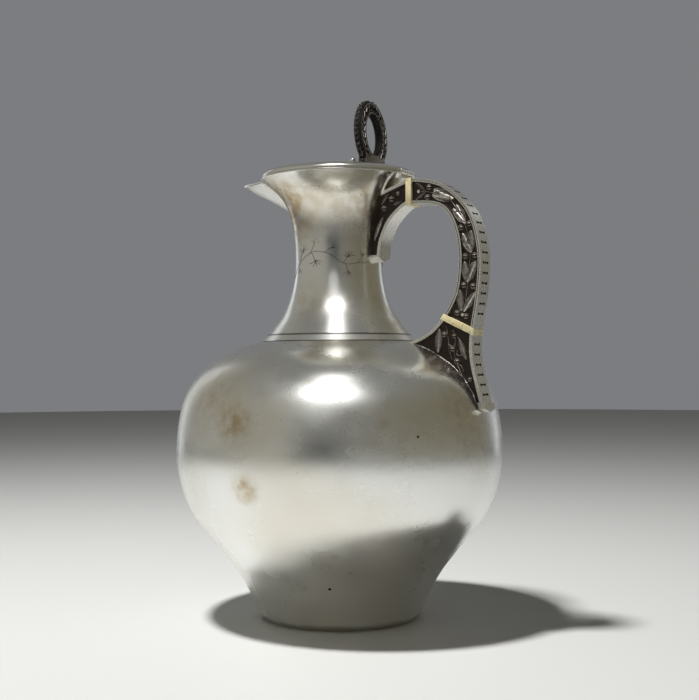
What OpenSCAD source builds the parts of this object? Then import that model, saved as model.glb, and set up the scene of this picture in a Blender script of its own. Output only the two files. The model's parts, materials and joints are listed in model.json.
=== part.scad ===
// Coffee pot in silver plate: a spun bulb with a waisted neck and a pulled beak, a hinged
// cover with an open wreath for the thumb, and a hollow handle that two insulators part
// from the pot. +Z is up, the handle points along +X and the beak along -X. The origin is
// the middle of the flat that the pot stands on. Every size is in millimetres.

/* [Body] */
// Radius of the flat ring that the pot stands on
base_r = 33.5; // [31:0.5:35]
// Radius at the top of the rolled foot edge
foot_r = 38.3; // [37.5:0.1:40]
// Height of the rolled foot edge
foot_z = 7.3; // [6:0.1:9]
// Radius where the flank turns from hollow to full
flank_r = 55.4; // [54:0.2:58]
// Height where the flank turns from hollow to full
flank_z = 33.8; // [32:0.2:36]
// Greatest radius of the bulb
belly_r = 72.7; // [71:0.1:76]
// Height of the greatest radius
belly_z = 78; // [76:0.5:80]
// Radius of the corner between bulb and neck
shoulder_r = 34.6; // [33.5:0.1:36]
// Height of the corner between bulb and neck
shoulder_z = 123; // [121:0.5:125]
// Thickness of the spun walls
wall = 1; // [0.8:0.1:1.3]
// Thickness of the base plate
base_plate_t = 1.2; // [1:0.1:2]
// How far the base plate stands above the table
base_recess = 3; // [2:0.25:4]

/* [Neck] */
// Height of the collar under the seam line of the neck
collar_h = 3; // [2:0.25:4]
// How far the collar stands proud of the neck's foot
collar_step = 0.3; // [0.2:0.05:0.5]
// Least radius of the neck
waist_r = 19.6; // [18.5:0.1:21]
// Height of the least radius
waist_z = 160; // [157:0.5:163]
// Outer radius of the mouth
mouth_r = 34.6; // [34:0.1:36]
// Height of the mouth
mouth_z = 195; // [193:0.5:197]
// Width of the wire round the mouth
mouth_wire_w = 1.4; // [1.2:0.1:1.8]
// Height of the wire round the mouth
mouth_wire_h = 0.8; // [0.6:0.1:1]

/* [Beak] */
// Distance of the beak's tip from the pot's axis
beak_reach = 50.7; // [48:0.1:54]
// Height of the beak from its root to its edge
beak_h = 24; // [21:0.5:26]
// Half of the angle that the beak takes up at the mouth, in degrees
beak_half_angle = 30; // [25:1:32]
// Thickness of the beak's wall
beak_wall = 0.9; // [0.8:0.05:1.1]
// Radius of the wire along the beak's edge
beak_wire_r = 0.85; // [0.7:0.05:0.95]

/* [Cover] */
// Height of the cover's rounded edge
cover_edge_h = 2.9; // [2.5:0.1:4]
// How far the cover's edge curves in
cover_edge_in = 4; // [3:0.25:5]
// Rise of the cover's low dome above its edge
cover_rise = 2.6; // [2:0.1:4]
// Thickness of the cover's sheet
cover_t = 1; // [0.8:0.1:1.2]
// Depth of the bezel inside the mouth
bezel_h = 3.6; // [3:0.1:4]
// Thickness of the bezel
bezel_t = 0.9; // [0.8:0.1:1.2]
// Gap between the closed cover and the mouth's wire
cover_gap = 0.15; // [0.1:0.05:0.3]

/* [Hinge] */
// Radius of the hinge's knuckles
knuckle_r = 1.5; // [1.4:0.05:1.7]
// Radius of the hinge's pin
hinge_pin_r = 0.7; // [0.6:0.05:0.8]
// Length of the hinge
hinge_l = 10; // [9:0.5:11]
// Number of knuckles, always odd
knuckles = 5; // [3:2:5]
// Gap between neighbouring knuckles
knuckle_gap = 0.15; // [0.1:0.05:0.25]
// Running clearance of the pin, on the radius
pin_clearance = 0.04; // [0.02:0.01:0.08]

/* [Wreath] */
// Width of the wreath
wreath_w = 24.2; // [23:0.1:27]
// Height of the wreath
wreath_h = 29.6; // [27:0.1:31]
// Width of the wreath's band, seen from the handle
wreath_band = 6; // [5.5:0.1:7]
// Thickness of the wreath's band
wreath_t = 3.8; // [3.5:0.1:4.5]
// Distance of the wreath from the pot's axis
wreath_x = 17.7; // [15.5:0.1:19]
// Lean of the wreath towards the beak, in degrees
wreath_lean = 3.5; // [0:0.5:5]
// Width of the foot that the wreath stands on
wreath_foot_w = 17; // [14:0.5:18]
// Depth to which the wreath's oval is let into its foot
wreath_sunk = 1.3; // [0.8:0.1:2]
// Radius of the wreath's screw
screw_r = 1.25; // [1:0.05:1.5]

/* [Handle] */
// Width of the handle's straps
strap_w = 9.4; // [9:0.1:11]
// Thickness of the handle's straps
strap_t = 1.4; // [1.1:0.1:1.7]
// Thickness of the handle's side plates
plate_t = 1.2; // [1:0.1:1.5]
// How far the side plates lie below the straps' edges
plate_recess = 1; // [0.8:0.1:1.2]
// Distance from the mouth to the upper insulator
insulator_gap = 2.4; // [1.7:0.1:2.8]
// Thickness of the insulators
insulator_t = 2.7; // [2.5:0.1:3.5]
// Distance between the ticks on the outer strap
tick_pitch = 4.3; // [3.8:0.1:5]
// Distance between the middles of a tick's two pits
tick_l = 4.1; // [3.6:0.1:5]
// Depth of a tick
tick_depth = 0.35; // [0.2:0.05:0.5]
// Radius of the tenons inside the insulators
tenon_r = 2; // [1.8:0.1:2.4]
// Radius of the pins through the tenons
tenon_pin_r = 0.7; // [0.5:0.05:0.9]

/* [Ornament] */
// Length of a leaf
leaf_l = 8.8; // [8:0.1:9.5]
// Width of a leaf
leaf_w = 3.1; // [2.7:0.1:3.6]
// Height of the leaves above the side plates
leaf_h = 0.8; // [0.6:0.05:1]
// Radius of a berry
berry_r = 1.15; // [1:0.05:1.3]
// Distance between the sprays along the grip
spray_pitch = 12.6; // [12:0.1:14]

/* [Hidden] */

silver = "silver";
oxidised = "dimgray";
ivory = "ivory";
spun_fn = 96;   // facets of a spun piece as drawn; it is exact when built
fine_fn = 32;   // facets of a small round piece as drawn
curve_steps = 6; // straight steps between two knots of a curve
overlap = 2;     // how far a cutting tool runs past what it cuts

// ---- Curves -------------------------------------------------------------------------

// A point of the smooth curve through knots b and c, with its neighbours a and d
function spline_at(a, b, c, d, t) =
    0.5 * (2 * b + (c - a) * t + (2 * a - 5 * b + 4 * c - d) * t * t
        + (3 * b - a - 3 * c + d) * t * t * t);

// The knot with index i, or one past either end that carries the curve straight on
function knot(k, i) =
    i < 0 ? 2 * k[0] - k[1] : i >= len(k) ? 2 * k[len(k) - 1] - k[len(k) - 2] : k[i];

// The smooth curve through knots, at u knots from its start
function spline_u(k, u) =
    let (i = max(0, min(floor(u), len(k) - 2)))
    spline_at(knot(k, i - 1), k[i], k[i + 1], knot(k, i + 2), u - i);

function spline(k, steps = curve_steps) =
    [for (n = [0 : (len(k) - 1) * steps]) spline_u(k, n / steps)];

function unit(v) = v / norm(v);

// The left-hand normal of a line of points at point i
function normal_at(p, i) =
    let (d = unit(p[min(i + 1, len(p) - 1)] - p[max(i - 1, 0)])) [-d[1], d[0]];

// A line of points moved sideways by d, to the left of its run
function shift(p, d) = [for (i = [0 : len(p) - 1]) p[i] + d * normal_at(p, i)];

function reversed(p) = [for (i = [len(p) - 1 : -1 : 0]) p[i]];

// Length of a line of points up to each of its points
function running(p) = [for (i = 0, s = 0; i < len(p);
    s = s + (i + 1 < len(p) ? norm(p[i + 1] - p[i]) : 0), i = i + 1) s];

// ---- Outlines of the spun pieces: [radius, height] ------------------------------------

// A line of points carried on straight by e past both of its ends
function carried_on(p, e) =
    let (n = len(p) - 1)
    concat([p[0] + e * unit(p[0] - p[1])], p, [p[n] + e * unit(p[n] - p[n - 1])]);

body_outer = spline([
    [base_r, 0],
    [base_r + 0.62 * (foot_r - base_r), 0.38 * foot_z],
    [foot_r, foot_z],
    [foot_r + 0.42 * (flank_r - foot_r), foot_z + 0.51 * (flank_z - foot_z)],
    [flank_r, flank_z],
    [flank_r + 0.63 * (belly_r - flank_r), flank_z + 0.33 * (belly_z - flank_z)],
    [belly_r - 0.07 * (belly_r - flank_r), flank_z + 0.66 * (belly_z - flank_z)],
    [belly_r, belly_z],
    [belly_r - 0.09 * (belly_r - shoulder_r), belly_z + 0.435 * (shoulder_z - belly_z)],
    [belly_r - 0.325 * (belly_r - shoulder_r), belly_z + 0.725 * (shoulder_z - belly_z)],
    [belly_r - 0.69 * (belly_r - shoulder_r), belly_z + 0.92 * (shoulder_z - belly_z)],
    [shoulder_r, shoulder_z]]);

seam_z = shoulder_z + collar_h;
seam_r = shoulder_r - 0.82 * collar_h;
neck_outer = spline([
    [seam_r - collar_step, seam_z],
    [waist_r + 0.36 * (seam_r - waist_r), seam_z + 0.33 * (waist_z - seam_z)],
    [waist_r + 0.08 * (seam_r - waist_r), seam_z + 0.66 * (waist_z - seam_z)],
    [waist_r, waist_z],
    [waist_r + 0.07 * (mouth_r - waist_r), waist_z + 0.41 * (mouth_z - waist_z)],
    [waist_r + 0.26 * (mouth_r - waist_r), waist_z + 0.68 * (mouth_z - waist_z)],
    [waist_r + 0.575 * (mouth_r - waist_r), waist_z + 0.86 * (mouth_z - waist_z)],
    [mouth_r, mouth_z]]);

body_and_collar = concat(body_outer, [[seam_r, seam_z]]);

// Radius of an outline at height z
function radius_at(outline, z) = lookup(z, [for (p = outline) [p[1], p[0]]]);

// The area between the axis and an outline that lies d inside the given one
module area_within(outline, d, z0, z1) {
    line = shift(carried_on(outline, overlap), d);
    intersection() {
        polygon(concat([[0, line[0][1]]], line, [[0, line[len(line) - 1][1]]]));
        translate([0, z0]) square([2 * belly_r, z1 - z0]);
    }
}

module wall_area(outline, z0, z1) {
    difference() {
        area_within(outline, 0, z0, z1);
        area_within(outline, wall, z0 - 1, z1 + 1);
    }
}

module spun() {
    rotate_extrude($fn = spun_fn) children();
}

module neck_solid() {
    spun() area_within(neck_outer, 0, seam_z, mouth_z);
}

module body_solid() {
    spun() area_within(body_and_collar, 0, 0, seam_z);
}

// ---- The pot --------------------------------------------------------------------------

module body_shell() {
    color(silver) spun() wall_area(body_and_collar, 0, seam_z);
}

module base_plate() {
    color(silver) spun()
        area_within(body_outer, wall, base_recess, base_recess + base_plate_t);
}

module neck_shell() {
    color(silver) difference() {
        spun() wall_area(neck_outer, seam_z, mouth_z);
        beak_notch();
        hinge_bed();
    }
}

module mouth_wire() {
    wire_r = mouth_r + 0.3;
    hinge_a = asin((hinge_l / 2 + knuckle_gap) / wire_r) + 0.3;
    beak_a = beak_half_angle + asin(beak_wire_r / wire_r) + 0.3;
    color(silver) for (side = [0, 1]) mirror([0, side, 0])
        rotate([0, 0, hinge_a])
        rotate_extrude(angle = 180 - hinge_a - beak_a, $fn = spun_fn)
        translate([wire_r - mouth_wire_w, mouth_z]) square([mouth_wire_w, mouth_wire_h]);
}

// ---- Beak: a sheet lofted from level outlines, with a rolled edge ----------------------

// The keel of the beak: [share of its throw, share of its height]
beak_keel = spline([[0, 0], [0.03, 0.19], [0.1, 0.355], [0.2, 0.49], [0.385, 0.63],
    [0.64, 0.785], [0.86, 0.905], [1, 1]], 2);
beak_root_z = mouth_z - beak_h;
beak_root_r = radius_at(neck_outer, beak_root_z);
beak_lip_rise = 0.8;
beak_steps = 9;

function beak_angle(v) = beak_half_angle * (0.25 + 0.75 * pow(v, 1.3));

function bezier(a, b, c, d, t) =
    pow(1 - t, 3) * a + 3 * t * pow(1 - t, 2) * b + 3 * t * t * (1 - t) * c + pow(t, 3) * d;

// One side of the sheet's ring at level k: from one root to the other, round the keel;
// d = 0 on the outside and the sheet's thickness on the inside
function beak_side(k, d) =
    let (v = beak_keel[k][1],
        r = radius_at(neck_outer, beak_root_z + v * beak_h) - 0.55 * wall,
        throw = beak_reach - beak_root_r,
        run = keel_run(k),
        tip = max(beak_root_r + beak_keel[k][0] * throw, r + 1.4) - d * run[1],
        x0 = r * cos(beak_angle(v)), y0 = r * sin(beak_angle(v)) - d,
        half = [for (n = [0 : beak_steps])
            let (t = n / beak_steps,
                p = bezier([x0, y0], [x0 + 0.42 * (tip - x0), 0.68 * y0],
                    [tip, 0.4 * y0], [tip, 0], t),
                rise = beak_lip_rise * pow(v, 5) * max(0, (p[0] - mouth_r) / 16))
            [-p[0], p[1], beak_root_z + v * beak_h + rise + d * run[0] * pow(t, 1.5)]])
    concat(half, [for (n = [beak_steps - 1 : -1 : 0]) [half[n][0], -half[n][1], half[n][2]]]);

// Direction of the keel at level k: [outwards, up]
function keel_run(k) =
    let (a = beak_keel[max(k - 1, 0)], b = beak_keel[min(k + 1, len(beak_keel) - 1)])
    unit([(b[0] - a[0]) * (beak_reach - beak_root_r), (b[1] - a[1]) * beak_h]);

function beak_ring(k) = concat(beak_side(k, 0), reversed(beak_side(k, beak_wall)));

// A closed skin over rings of points. Each ring runs along one side of a sheet and back
// along the other, so the first and the last ring are closed by strips between the sides.
module lofted(rings) {
    n = len(rings[0]);
    m = len(rings);
    last = (m - 1) * n;
    polyhedron(
        points = [for (ring = rings) each ring],
        faces = concat(
            [for (i = [0 : n / 2 - 2]) [i, i + 1, n - 1 - i]],
            [for (i = [0 : n / 2 - 2]) [i + 1, n - 2 - i, n - 1 - i]],
            [for (k = [0 : m - 2], i = [0 : n - 1])
                [k * n + i, (k + 1) * n + (i + 1) % n, k * n + (i + 1) % n]],
            [for (k = [0 : m - 2], i = [0 : n - 1])
                [k * n + i, (k + 1) * n + i, (k + 1) * n + (i + 1) % n]],
            [for (i = [0 : n / 2 - 2]) [last + n - 1 - i, last + i + 1, last + i]],
            [for (i = [0 : n / 2 - 2]) [last + n - 1 - i, last + n - 2 - i, last + i + 1]]));
}

module beak() {
    color(silver) difference() {
        lofted([for (k = [0 : len(beak_keel) - 1]) beak_ring(k)]);
        neck_solid();
    }
}

// The wire along the beak's edge: a round section carried along the middle of the edge
module beak_wire() {
    k = len(beak_keel) - 1;
    line = (beak_side(k, 0) + beak_side(k, beak_wall)) / 2;
    m = len(line);
    n = 12;
    rings = [for (i = [0 : m - 1])
        let (along = unit(line[min(i + 1, m - 1)] - line[max(i - 1, 0)]),
            out = unit([along[1], -along[0], 0]))
        [for (a = [0 : 360 / n : 359])
            line[i] + beak_wire_r * (cos(a) * out + [0, 0, sin(a)])]];
    color(silver) difference() {
        polyhedron(
            points = [for (ring = rings) each ring],
            faces = concat(
                [[for (i = [n - 1 : -1 : 0]) i]],
                [for (j = [0 : m - 2], i = [0 : n - 1], half = [0, 1])
                    let (a = j * n + i, b = j * n + (i + 1) % n)
                    half == 0 ? [a, b, b + n] : [a, b + n, a + n]],
                [[for (i = [0 : n - 1]) (m - 1) * n + i]]));
        spun() translate([0, mouth_z - 3 * overlap]) square([mouth_r, 5 * overlap]);
    }
}

// The opening in the neck's wall behind the beak
module beak_notch() {
    half = [for (v = [0.32 : 0.08 : 1.04])
        [0.8 * radius_at(neck_outer, beak_root_z + v * beak_h) * sin(beak_angle(min(v, 1)))
            - 0.9, beak_root_z + v * beak_h]];
    mirrored = [for (n = [len(half) - 1 : -1 : 0]) [-half[n][0], half[n][1]]];
    translate([-2 * mouth_r, 0, 0]) rotate([90, 0, 90])
        linear_extrude(height = 2 * mouth_r) polygon(concat(half, mirrored));
}

// ---- Hinge ----------------------------------------------------------------------------

hinge_x = mouth_r - 0.5;
hinge_z = mouth_z + mouth_wire_h + cover_gap;
knuckle_l = hinge_l / knuckles;
hinge_clear = 0.3;

// A cylinder along the hinge's pin between two places on it
module along_hinge(y0, y1, r) {
    translate([hinge_x, y0, hinge_z]) rotate([-90, 0, 0])
        cylinder(r = r, h = y1 - y0, $fn = fine_fn);
}

module hinge_bed() {
    along_hinge(-hinge_l / 2, hinge_l / 2, knuckle_r);
}

// Every second knuckle, starting with number first
module knuckle_row(first, r, gap) {
    for (k = [first : 2 : knuckles - 1])
        along_hinge(-hinge_l / 2 + k * knuckle_l + (k == 0 ? 0 : gap),
            -hinge_l / 2 + (k + 1) * knuckle_l - (k == knuckles - 1 ? 0 : gap), r);
}

module hinge_base() {
    color(silver) difference() {
        union() {
            knuckle_row(0, knuckle_r, knuckle_gap / 2);
            translate([hinge_x - 2.2, -hinge_l / 2, hinge_z - knuckle_r - 1.1])
                cube([2.2 + knuckle_r - 0.35, hinge_l, knuckle_r + 0.5]);
        }
        neck_solid();
        spun() translate([0, mouth_z - overlap]) square([hinge_x - 2, 2 * overlap]);
        knuckle_row(1, knuckle_r + hinge_clear, -knuckle_gap / 2);
        along_hinge(-hinge_l, hinge_l, hinge_pin_r);
        cover_sweep();
    }
}

// Room in the fixed half for the leaf of the cover
module cover_sweep() {
    translate([hinge_x - 4, -hinge_l / 2 + knuckle_l - knuckle_gap, hinge_z - 0.35])
        cube([4, hinge_l - 2 * knuckle_l + 2 * knuckle_gap, 4]);
}

module hinge_pin() {
    color(silver) along_hinge(-hinge_l / 2, hinge_l / 2, hinge_pin_r);
}

module hinge_cover_leaf() {
    color(silver) difference() {
        union() {
            knuckle_row(1, knuckle_r, knuckle_gap / 2);
            for (k = [1 : 2 : knuckles - 2])
                translate([hinge_x - knuckle_r - 0.8,
                    -hinge_l / 2 + k * knuckle_l + knuckle_gap / 2, hinge_z])
                    cube([knuckle_r + 0.8, knuckle_l - knuckle_gap, knuckle_r]);
        }
        along_hinge(-hinge_l, hinge_l, hinge_pin_r + pin_clearance);
        translate([0, 0, cover_z])
            cylinder(r = hinge_x - knuckle_r - 0.45, h = 3 * knuckle_r, $fn = spun_fn);
        cover_sheet();
    }
}

// ---- Cover ----------------------------------------------------------------------------

cover_z = hinge_z;
cover_top_z = cover_z + cover_edge_h + cover_rise;

// The cover's upper outline, from its edge to its middle
cover_edge = concat(
    [[mouth_r, cover_z]],
    [for (a = [0 : 12 : 84])
        [mouth_r - cover_edge_in * (1 - cos(a)), cover_z + 0.5 + (cover_edge_h - 0.5) * sin(a)]]);
cover_r0 = mouth_r - cover_edge_in;
cover_dome = [for (s = [0.98 : -0.07 : 0])
    [s * cover_r0, cover_z + cover_edge_h + cover_rise * (1 - s * s)]];
cover_outer = concat(cover_edge, cover_dome, [[0, cover_top_z]]);

function cover_height(r) = cover_z + cover_edge_h + cover_rise * (1 - pow(r / cover_r0, 2));

module cover_solid() {
    spun() polygon(concat(cover_outer, [[0, cover_z - overlap], [mouth_r, cover_z - overlap]]));
}

cover_inner = concat(
    [[mouth_r - cover_t, cover_z]],
    [for (a = [0 : 12 : 84])
        [mouth_r - cover_t - cover_edge_in * (1 - cos(a)),
            cover_z + 0.5 + (cover_edge_h - 0.5 - cover_t) * sin(a)]],
    [for (p = cover_dome) [p[0] * (1 - cover_t / cover_r0), p[1] - cover_t]],
    [[0, cover_top_z - cover_t]]);

// All that lies above the cover's underside
module above_lining() {
    top = cover_top_z + wreath_h;
    spun() polygon(concat(cover_inner, [[0, top], [2 * mouth_r, top], [2 * mouth_r, cover_z]]));
}

module cover_sheet() {
    spun() polygon(concat(cover_outer, reversed(cover_inner)));
}

module cover() {
    color(silver) difference() {
        cover_sheet();
        along_hinge(-hinge_l / 2 - hinge_clear, hinge_l / 2 + hinge_clear,
            knuckle_r + hinge_clear);
        translate([hinge_x - knuckle_r / 2, -hinge_l / 2 - hinge_clear, cover_z - 1])
            cube([2 * knuckle_r, hinge_l + 2 * hinge_clear, knuckle_r + 1]);
        screw_hole();
    }
}

// The bezel hangs from the cover's sheet and reaches down inside the mouth
bezel_r = radius_at(neck_outer, mouth_z - bezel_h) - wall - 0.6;

module cover_bezel() {
    color(silver) difference() {
        spun() translate([bezel_r - bezel_t, cover_z - bezel_h])
            square([bezel_t, bezel_h + cover_edge_h + overlap]);
        above_lining();
    }
}

// ---- Wreath ---------------------------------------------------------------------------

wreath_mid_z = wreath_h / 2 - wreath_sunk;
wreath_field = 0.38 * wreath_t;
screw_head = 2.6;
screw_grip = 0.6 * wreath_band;

module wreath_place() {
    translate([wreath_x, 0, cover_height(wreath_x)]) rotate([0, -wreath_lean, 0]) children();
}

module screw_rod() {
    wreath_place() translate([0, 0, -cover_t - screw_head])
        cylinder(r = screw_r, h = cover_t + screw_head + screw_grip, $fn = fine_fn);
}

module screw_hole() {
    wreath_place() translate([0, 0, -2 * cover_t - screw_head])
        cylinder(r = screw_r, h = 2 * cover_t + screw_head + screw_grip, $fn = fine_fn);
}

// A point of the oval that lies u outside the middle line of the wreath's band
function wreath_point(a, u) =
    let (ry = (wreath_w - wreath_band) / 2, rz = (wreath_h - wreath_band) / 2,
        n = unit([rz * cos(a), ry * sin(a)]))
    [ry * cos(a) + u * n[0], rz * sin(a) + u * n[1]];

// Half of the band's section: [across the band, towards the handle]
wreath_border = 0.25 * wreath_band;
field_w = wreath_band - 2 * wreath_border;
wreath_half = let (b = wreath_band / 2, e = wreath_border, t = wreath_t)
    [[-b, 0], [-b + 0.07 * e, 0.3 * t], [-b + 0.3 * e, 0.44 * t], [-b + 0.6 * e, 0.5 * t],
    [-b + 0.85 * e, 0.47 * t], [-b + e, wreath_field], [b - e, wreath_field],
    [b - 0.85 * e, 0.47 * t], [b - 0.6 * e, 0.5 * t], [b - 0.3 * e, 0.44 * t],
    [b - 0.07 * e, 0.3 * t], [b, 0]];
wreath_section = concat(wreath_half,
    [for (n = [len(wreath_half) - 2 : -1 : 1]) [wreath_half[n][0], -wreath_half[n][1]]]);
wreath_steps = 40;

module wreath_ring() {
    n = len(wreath_section);
    m = wreath_steps;
    polyhedron(
        points = [for (k = [0 : m - 1], s = wreath_section)
            let (p = wreath_point(360 * k / m, s[0])) [s[1], p[0], p[1]]],
        faces = [for (k = [0 : m - 1], i = [0 : n - 1], half = [0, 1])
            let (a = k * n + i, b = k * n + (i + 1) % n,
                c = ((k + 1) % m) * n + (i + 1) % n, d = ((k + 1) % m) * n + i)
            half == 0 ? [a, c, b] : [a, d, c]]);
}

// The foot stands on the cover and is as thick as the band
module wreath_foot() {
    w = wreath_foot_w / 2;
    h = wreath_band - wreath_sunk - 0.6;
    translate([-wreath_t / 2, 0, 0]) rotate([90, 0, 90]) linear_extrude(height = wreath_t)
        polygon([[-w, -overlap], [w, -overlap], [w, 0.3 * h], [0.92 * w, h],
            [-0.92 * w, h], [-w, 0.3 * h]]);
}

module wreath() {
    color(silver) difference() {
        wreath_place() union() {
            translate([0, 0, wreath_mid_z]) wreath_ring();
            wreath_foot();
        }
        cover_solid();
        screw_hole();
    }
}

// A leaf from one point of the wreath's face to another, and a berry at a point
module wreath_leaf(p, q, w) {
    translate([wreath_field, p[0], p[1]]) rotate([90, 0, 90])
        rotate([0, 0, atan2(q[1] - p[1], q[0] - p[0])]) leaf(norm(q - p), w, 0.45);
}

// Two branches of leaves and berries rise from the foot on each face and meet at the top
module wreath_ornament() {
    pairs = 4;
    from = -45;
    turn = (90 - from) / pairs;
    color(oxidised) wreath_place() translate([0, 0, wreath_mid_z])
        for (face = [0, 1], half = [0, 1]) mirror([face, 0, 0]) mirror([0, half, 0])
            for (a = [from : turn : 90 - turn]) {
                for (side = [-1, 1])
                    wreath_leaf(wreath_point(a, side * 0.12 * field_w),
                        wreath_point(a + 0.5 * turn, side * 0.33 * field_w), 0.34 * field_w);
                b = wreath_point(a + 0.75 * turn, 0);
                translate([wreath_field, b[0], b[1]]) rotate([90, 0, 90]) berry(0.8, 0.55);
            }
}

// The scroll leaves the wreath's foot towards the middle of the cover, ending in a ball
scroll_r = 4.4;
scroll_tube_r = 1.05;
scroll_ball_r = 1.45;
scroll_rise = 0.6;
scroll_from = -165;
scroll_to = -30;

module wreath_scroll() {
    color(silver) difference() {
        wreath_place() translate([-wreath_t / 2 - scroll_r * cos(scroll_to), 0,
            scroll_r + scroll_rise]) rotate([90, 0, 0]) rotate([0, 0, scroll_from]) {
                rotate_extrude(angle = scroll_to - scroll_from + 25, $fn = 48)
                    translate([scroll_r, 0]) circle(r = scroll_tube_r, $fn = 20);
                translate([scroll_r, 0, 0]) sphere(r = scroll_ball_r, $fn = fine_fn);
            }
        cover_solid();
        wreath_place() translate([-wreath_t / 2, -scroll_r, -scroll_r])
            cube([2 * scroll_r, 2 * scroll_r, 3 * scroll_r]);
    }
}

module wreath_screw() {
    color(silver) screw_rod();
}

module wreath_nut() {
    color(silver) difference() {
        wreath_place() translate([0, 0, -cover_t - 2.2]) cylinder(r = 2.9, h = 4, $fn = 6);
        above_lining();
        screw_hole();
    }
}

// ---- Handle: two lines bound it, seen from the side as [x, z] ---------------------------

socket_x = mouth_r + insulator_gap;
grip_x = socket_x + insulator_t;
grip_reach = belly_r - 0.8;
grip_top_z = mouth_z - 2.1;

// A knot of the grip at shares of its reach and of its height
function grip_knot(s, t) =
    [grip_x + s * (grip_reach - grip_x), shoulder_z + t * (grip_top_z - shoulder_z)];

// A knot of the lower socket at a distance from the belly and a share of its height
function low_knot(dx, q) = [belly_r + dx, belly_z + q * (shoulder_z - belly_z)];

// A knot of the upper socket at a distance from the waist and a height over it
function waist_knot(dx, dz) = [waist_r + dx, waist_z + dz];

// A knot of the inner strap's end at a distance from the corner under the neck
function shoulder_knot(dx, dz) = [shoulder_r + dx, shoulder_z + dz];

grip_out = [grip_knot(0, 0.994), grip_knot(0.2, 0.982), grip_knot(0.398, 0.957),
    grip_knot(0.568, 0.912), grip_knot(0.728, 0.844), grip_knot(0.862, 0.7605),
    grip_knot(0.956, 0.651), grip_knot(1.007, 0.508), grip_knot(1.003, 0.379),
    grip_knot(0.963, 0.222), grip_knot(0.903, 0.064)];
grip_in = [grip_knot(0, 0.836), grip_knot(0.125, 0.8335), grip_knot(0.24, 0.829),
    grip_knot(0.368, 0.818), grip_knot(0.486, 0.788), grip_knot(0.584, 0.727),
    grip_knot(0.6535, 0.642), grip_knot(0.69, 0.5365), grip_knot(0.687, 0.422),
    grip_knot(0.632, 0.279), grip_knot(0.483, 0.1545)];
line_steps = 5;

outer_line = spline(concat(
    [[mouth_r - 11, mouth_z - 7.6], [mouth_r - 4.6, mouth_z - 5.3], [socket_x, mouth_z - 3]],
    grip_out,
    [low_knot(-4.5, 0.965), low_knot(-4.5, 0.867), low_knot(-3.6, 0.733),
    low_knot(-2.1, 0.6), low_knot(-0.7, 0.484), low_knot(0.5, 0.378),
    low_knot(1, 0.3)]), line_steps);
inner_line = spline(concat(
    [waist_knot(3.2, -6), waist_knot(4.2, 0.5), waist_knot(5.4, 7), waist_knot(8.8, 14),
    [mouth_r - 2, mouth_z - 16.6], [socket_x, mouth_z - 13.7]],
    grip_in,
    [shoulder_knot(15.6, 5.1), shoulder_knot(12, 2.6), shoulder_knot(8.5, 0.9),
    shoulder_knot(4.9, -0.4), shoulder_knot(1.4, -1.4)]), line_steps);

// The area between the two lines, both of them moved inwards by d
module handle_area(d) {
    a = shift(outer_line, -d);
    b = shift(inner_line, d);
    polygon(concat([[waist_r / 2, a[0][1]]], a, reversed(b), [[waist_r / 2, b[0][1]]]));
}

// The area of a strap that runs along a line and is t thick
module strap_area(line, t) {
    polygon(concat(line, reversed(shift(line, t))));
}

// The two cuts across the handle where the insulators sit
cut_p = grip_in[len(grip_in) - 1];
cut_q = grip_out[len(grip_out) - 1];
cut_d = unit(cut_q - cut_p);
cut_n = [cut_d[1], -cut_d[0]];
cut_mid = (cut_p + cut_q) / 2;
cut_angle = atan2(cut_n[1], cut_n[0]);

module beyond_low_cut(k) {
    translate(cut_mid + k * cut_n) rotate([0, 0, cut_angle])
        translate([0, waist_r - cut_mid[0]]) square([shoulder_z, 2 * belly_r]);
}

module upper_zone(k = 0) {
    translate([0, shoulder_z]) square([socket_x - k, mouth_z - shoulder_z]);
}

module grip_zone(k = 0) {
    difference() {
        translate([grip_x + k, shoulder_z]) square([belly_r, mouth_z - shoulder_z]);
        beyond_low_cut(-k);
    }
}

// A side view drawn out to width w across the handle
module slice(w) {
    rotate([90, 0, 0]) translate([0, 0, -w / 2]) linear_extrude(height = w) children();
}

plate_y = strap_w / 2 - plate_recess;

// The two side plates over an area
module plate_pair() {
    for (side = [0, 1]) mirror([0, side, 0])
        translate([0, plate_t / 2 - plate_y, 0]) slice(plate_t) children();
}

module core_slice() {
    slice(2 * (plate_y - plate_t)) children();
}

// A pointed band across a strap, h high, with its point at height z
module chevron(z, slope, h) {
    w = strap_w;
    rotate([90, 0, 90]) linear_extrude(height = 2 * belly_r)
        polygon([[-w, z + w * slope], [0, z], [w, z + w * slope],
            [w, z + w * slope + h], [0, z + h], [-w, z + w * slope + h]]);
}

// ---- Tenons and their pins --------------------------------------------------------------

tenon_in = 5.2;
pin_in = 3.1;
upper_tenon_z = mouth_z - 8.3;
upper_pin_x = grip_x + pin_in;
low_pin = cut_mid - pin_in * cut_n;

module upper_tenon_rod(r) {
    translate([socket_x - tenon_in, 0, upper_tenon_z]) rotate([0, 90, 0])
        cylinder(r = r, h = insulator_t + 2 * tenon_in, $fn = fine_fn);
}

module lower_tenon_rod(r) {
    translate([cut_mid[0], 0, cut_mid[1]]) rotate([0, 90 - cut_angle, 0])
        translate([0, 0, -tenon_in])
        cylinder(r = r, h = insulator_t + 2 * tenon_in, $fn = fine_fn);
}

module pin_rod(x, z) {
    h = 2 * plate_y + 0.8;
    translate([x, h / 2, z]) rotate([90, 0, 0]) cylinder(r = tenon_pin_r, h = h, $fn = 24);
}

module upper_pin_rod() {
    pin_rod(upper_pin_x, upper_tenon_z);
}

module lower_pin_rod() {
    pin_rod(low_pin[0], low_pin[1]);
}

module upper_tenon() {
    color(ivory) difference() {
        upper_tenon_rod(tenon_r);
        upper_pin_rod();
    }
}

module lower_tenon() {
    color(ivory) difference() {
        lower_tenon_rod(tenon_r);
        lower_pin_rod();
    }
}

module upper_tenon_pin() {
    color(silver) upper_pin_rod();
}

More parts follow.
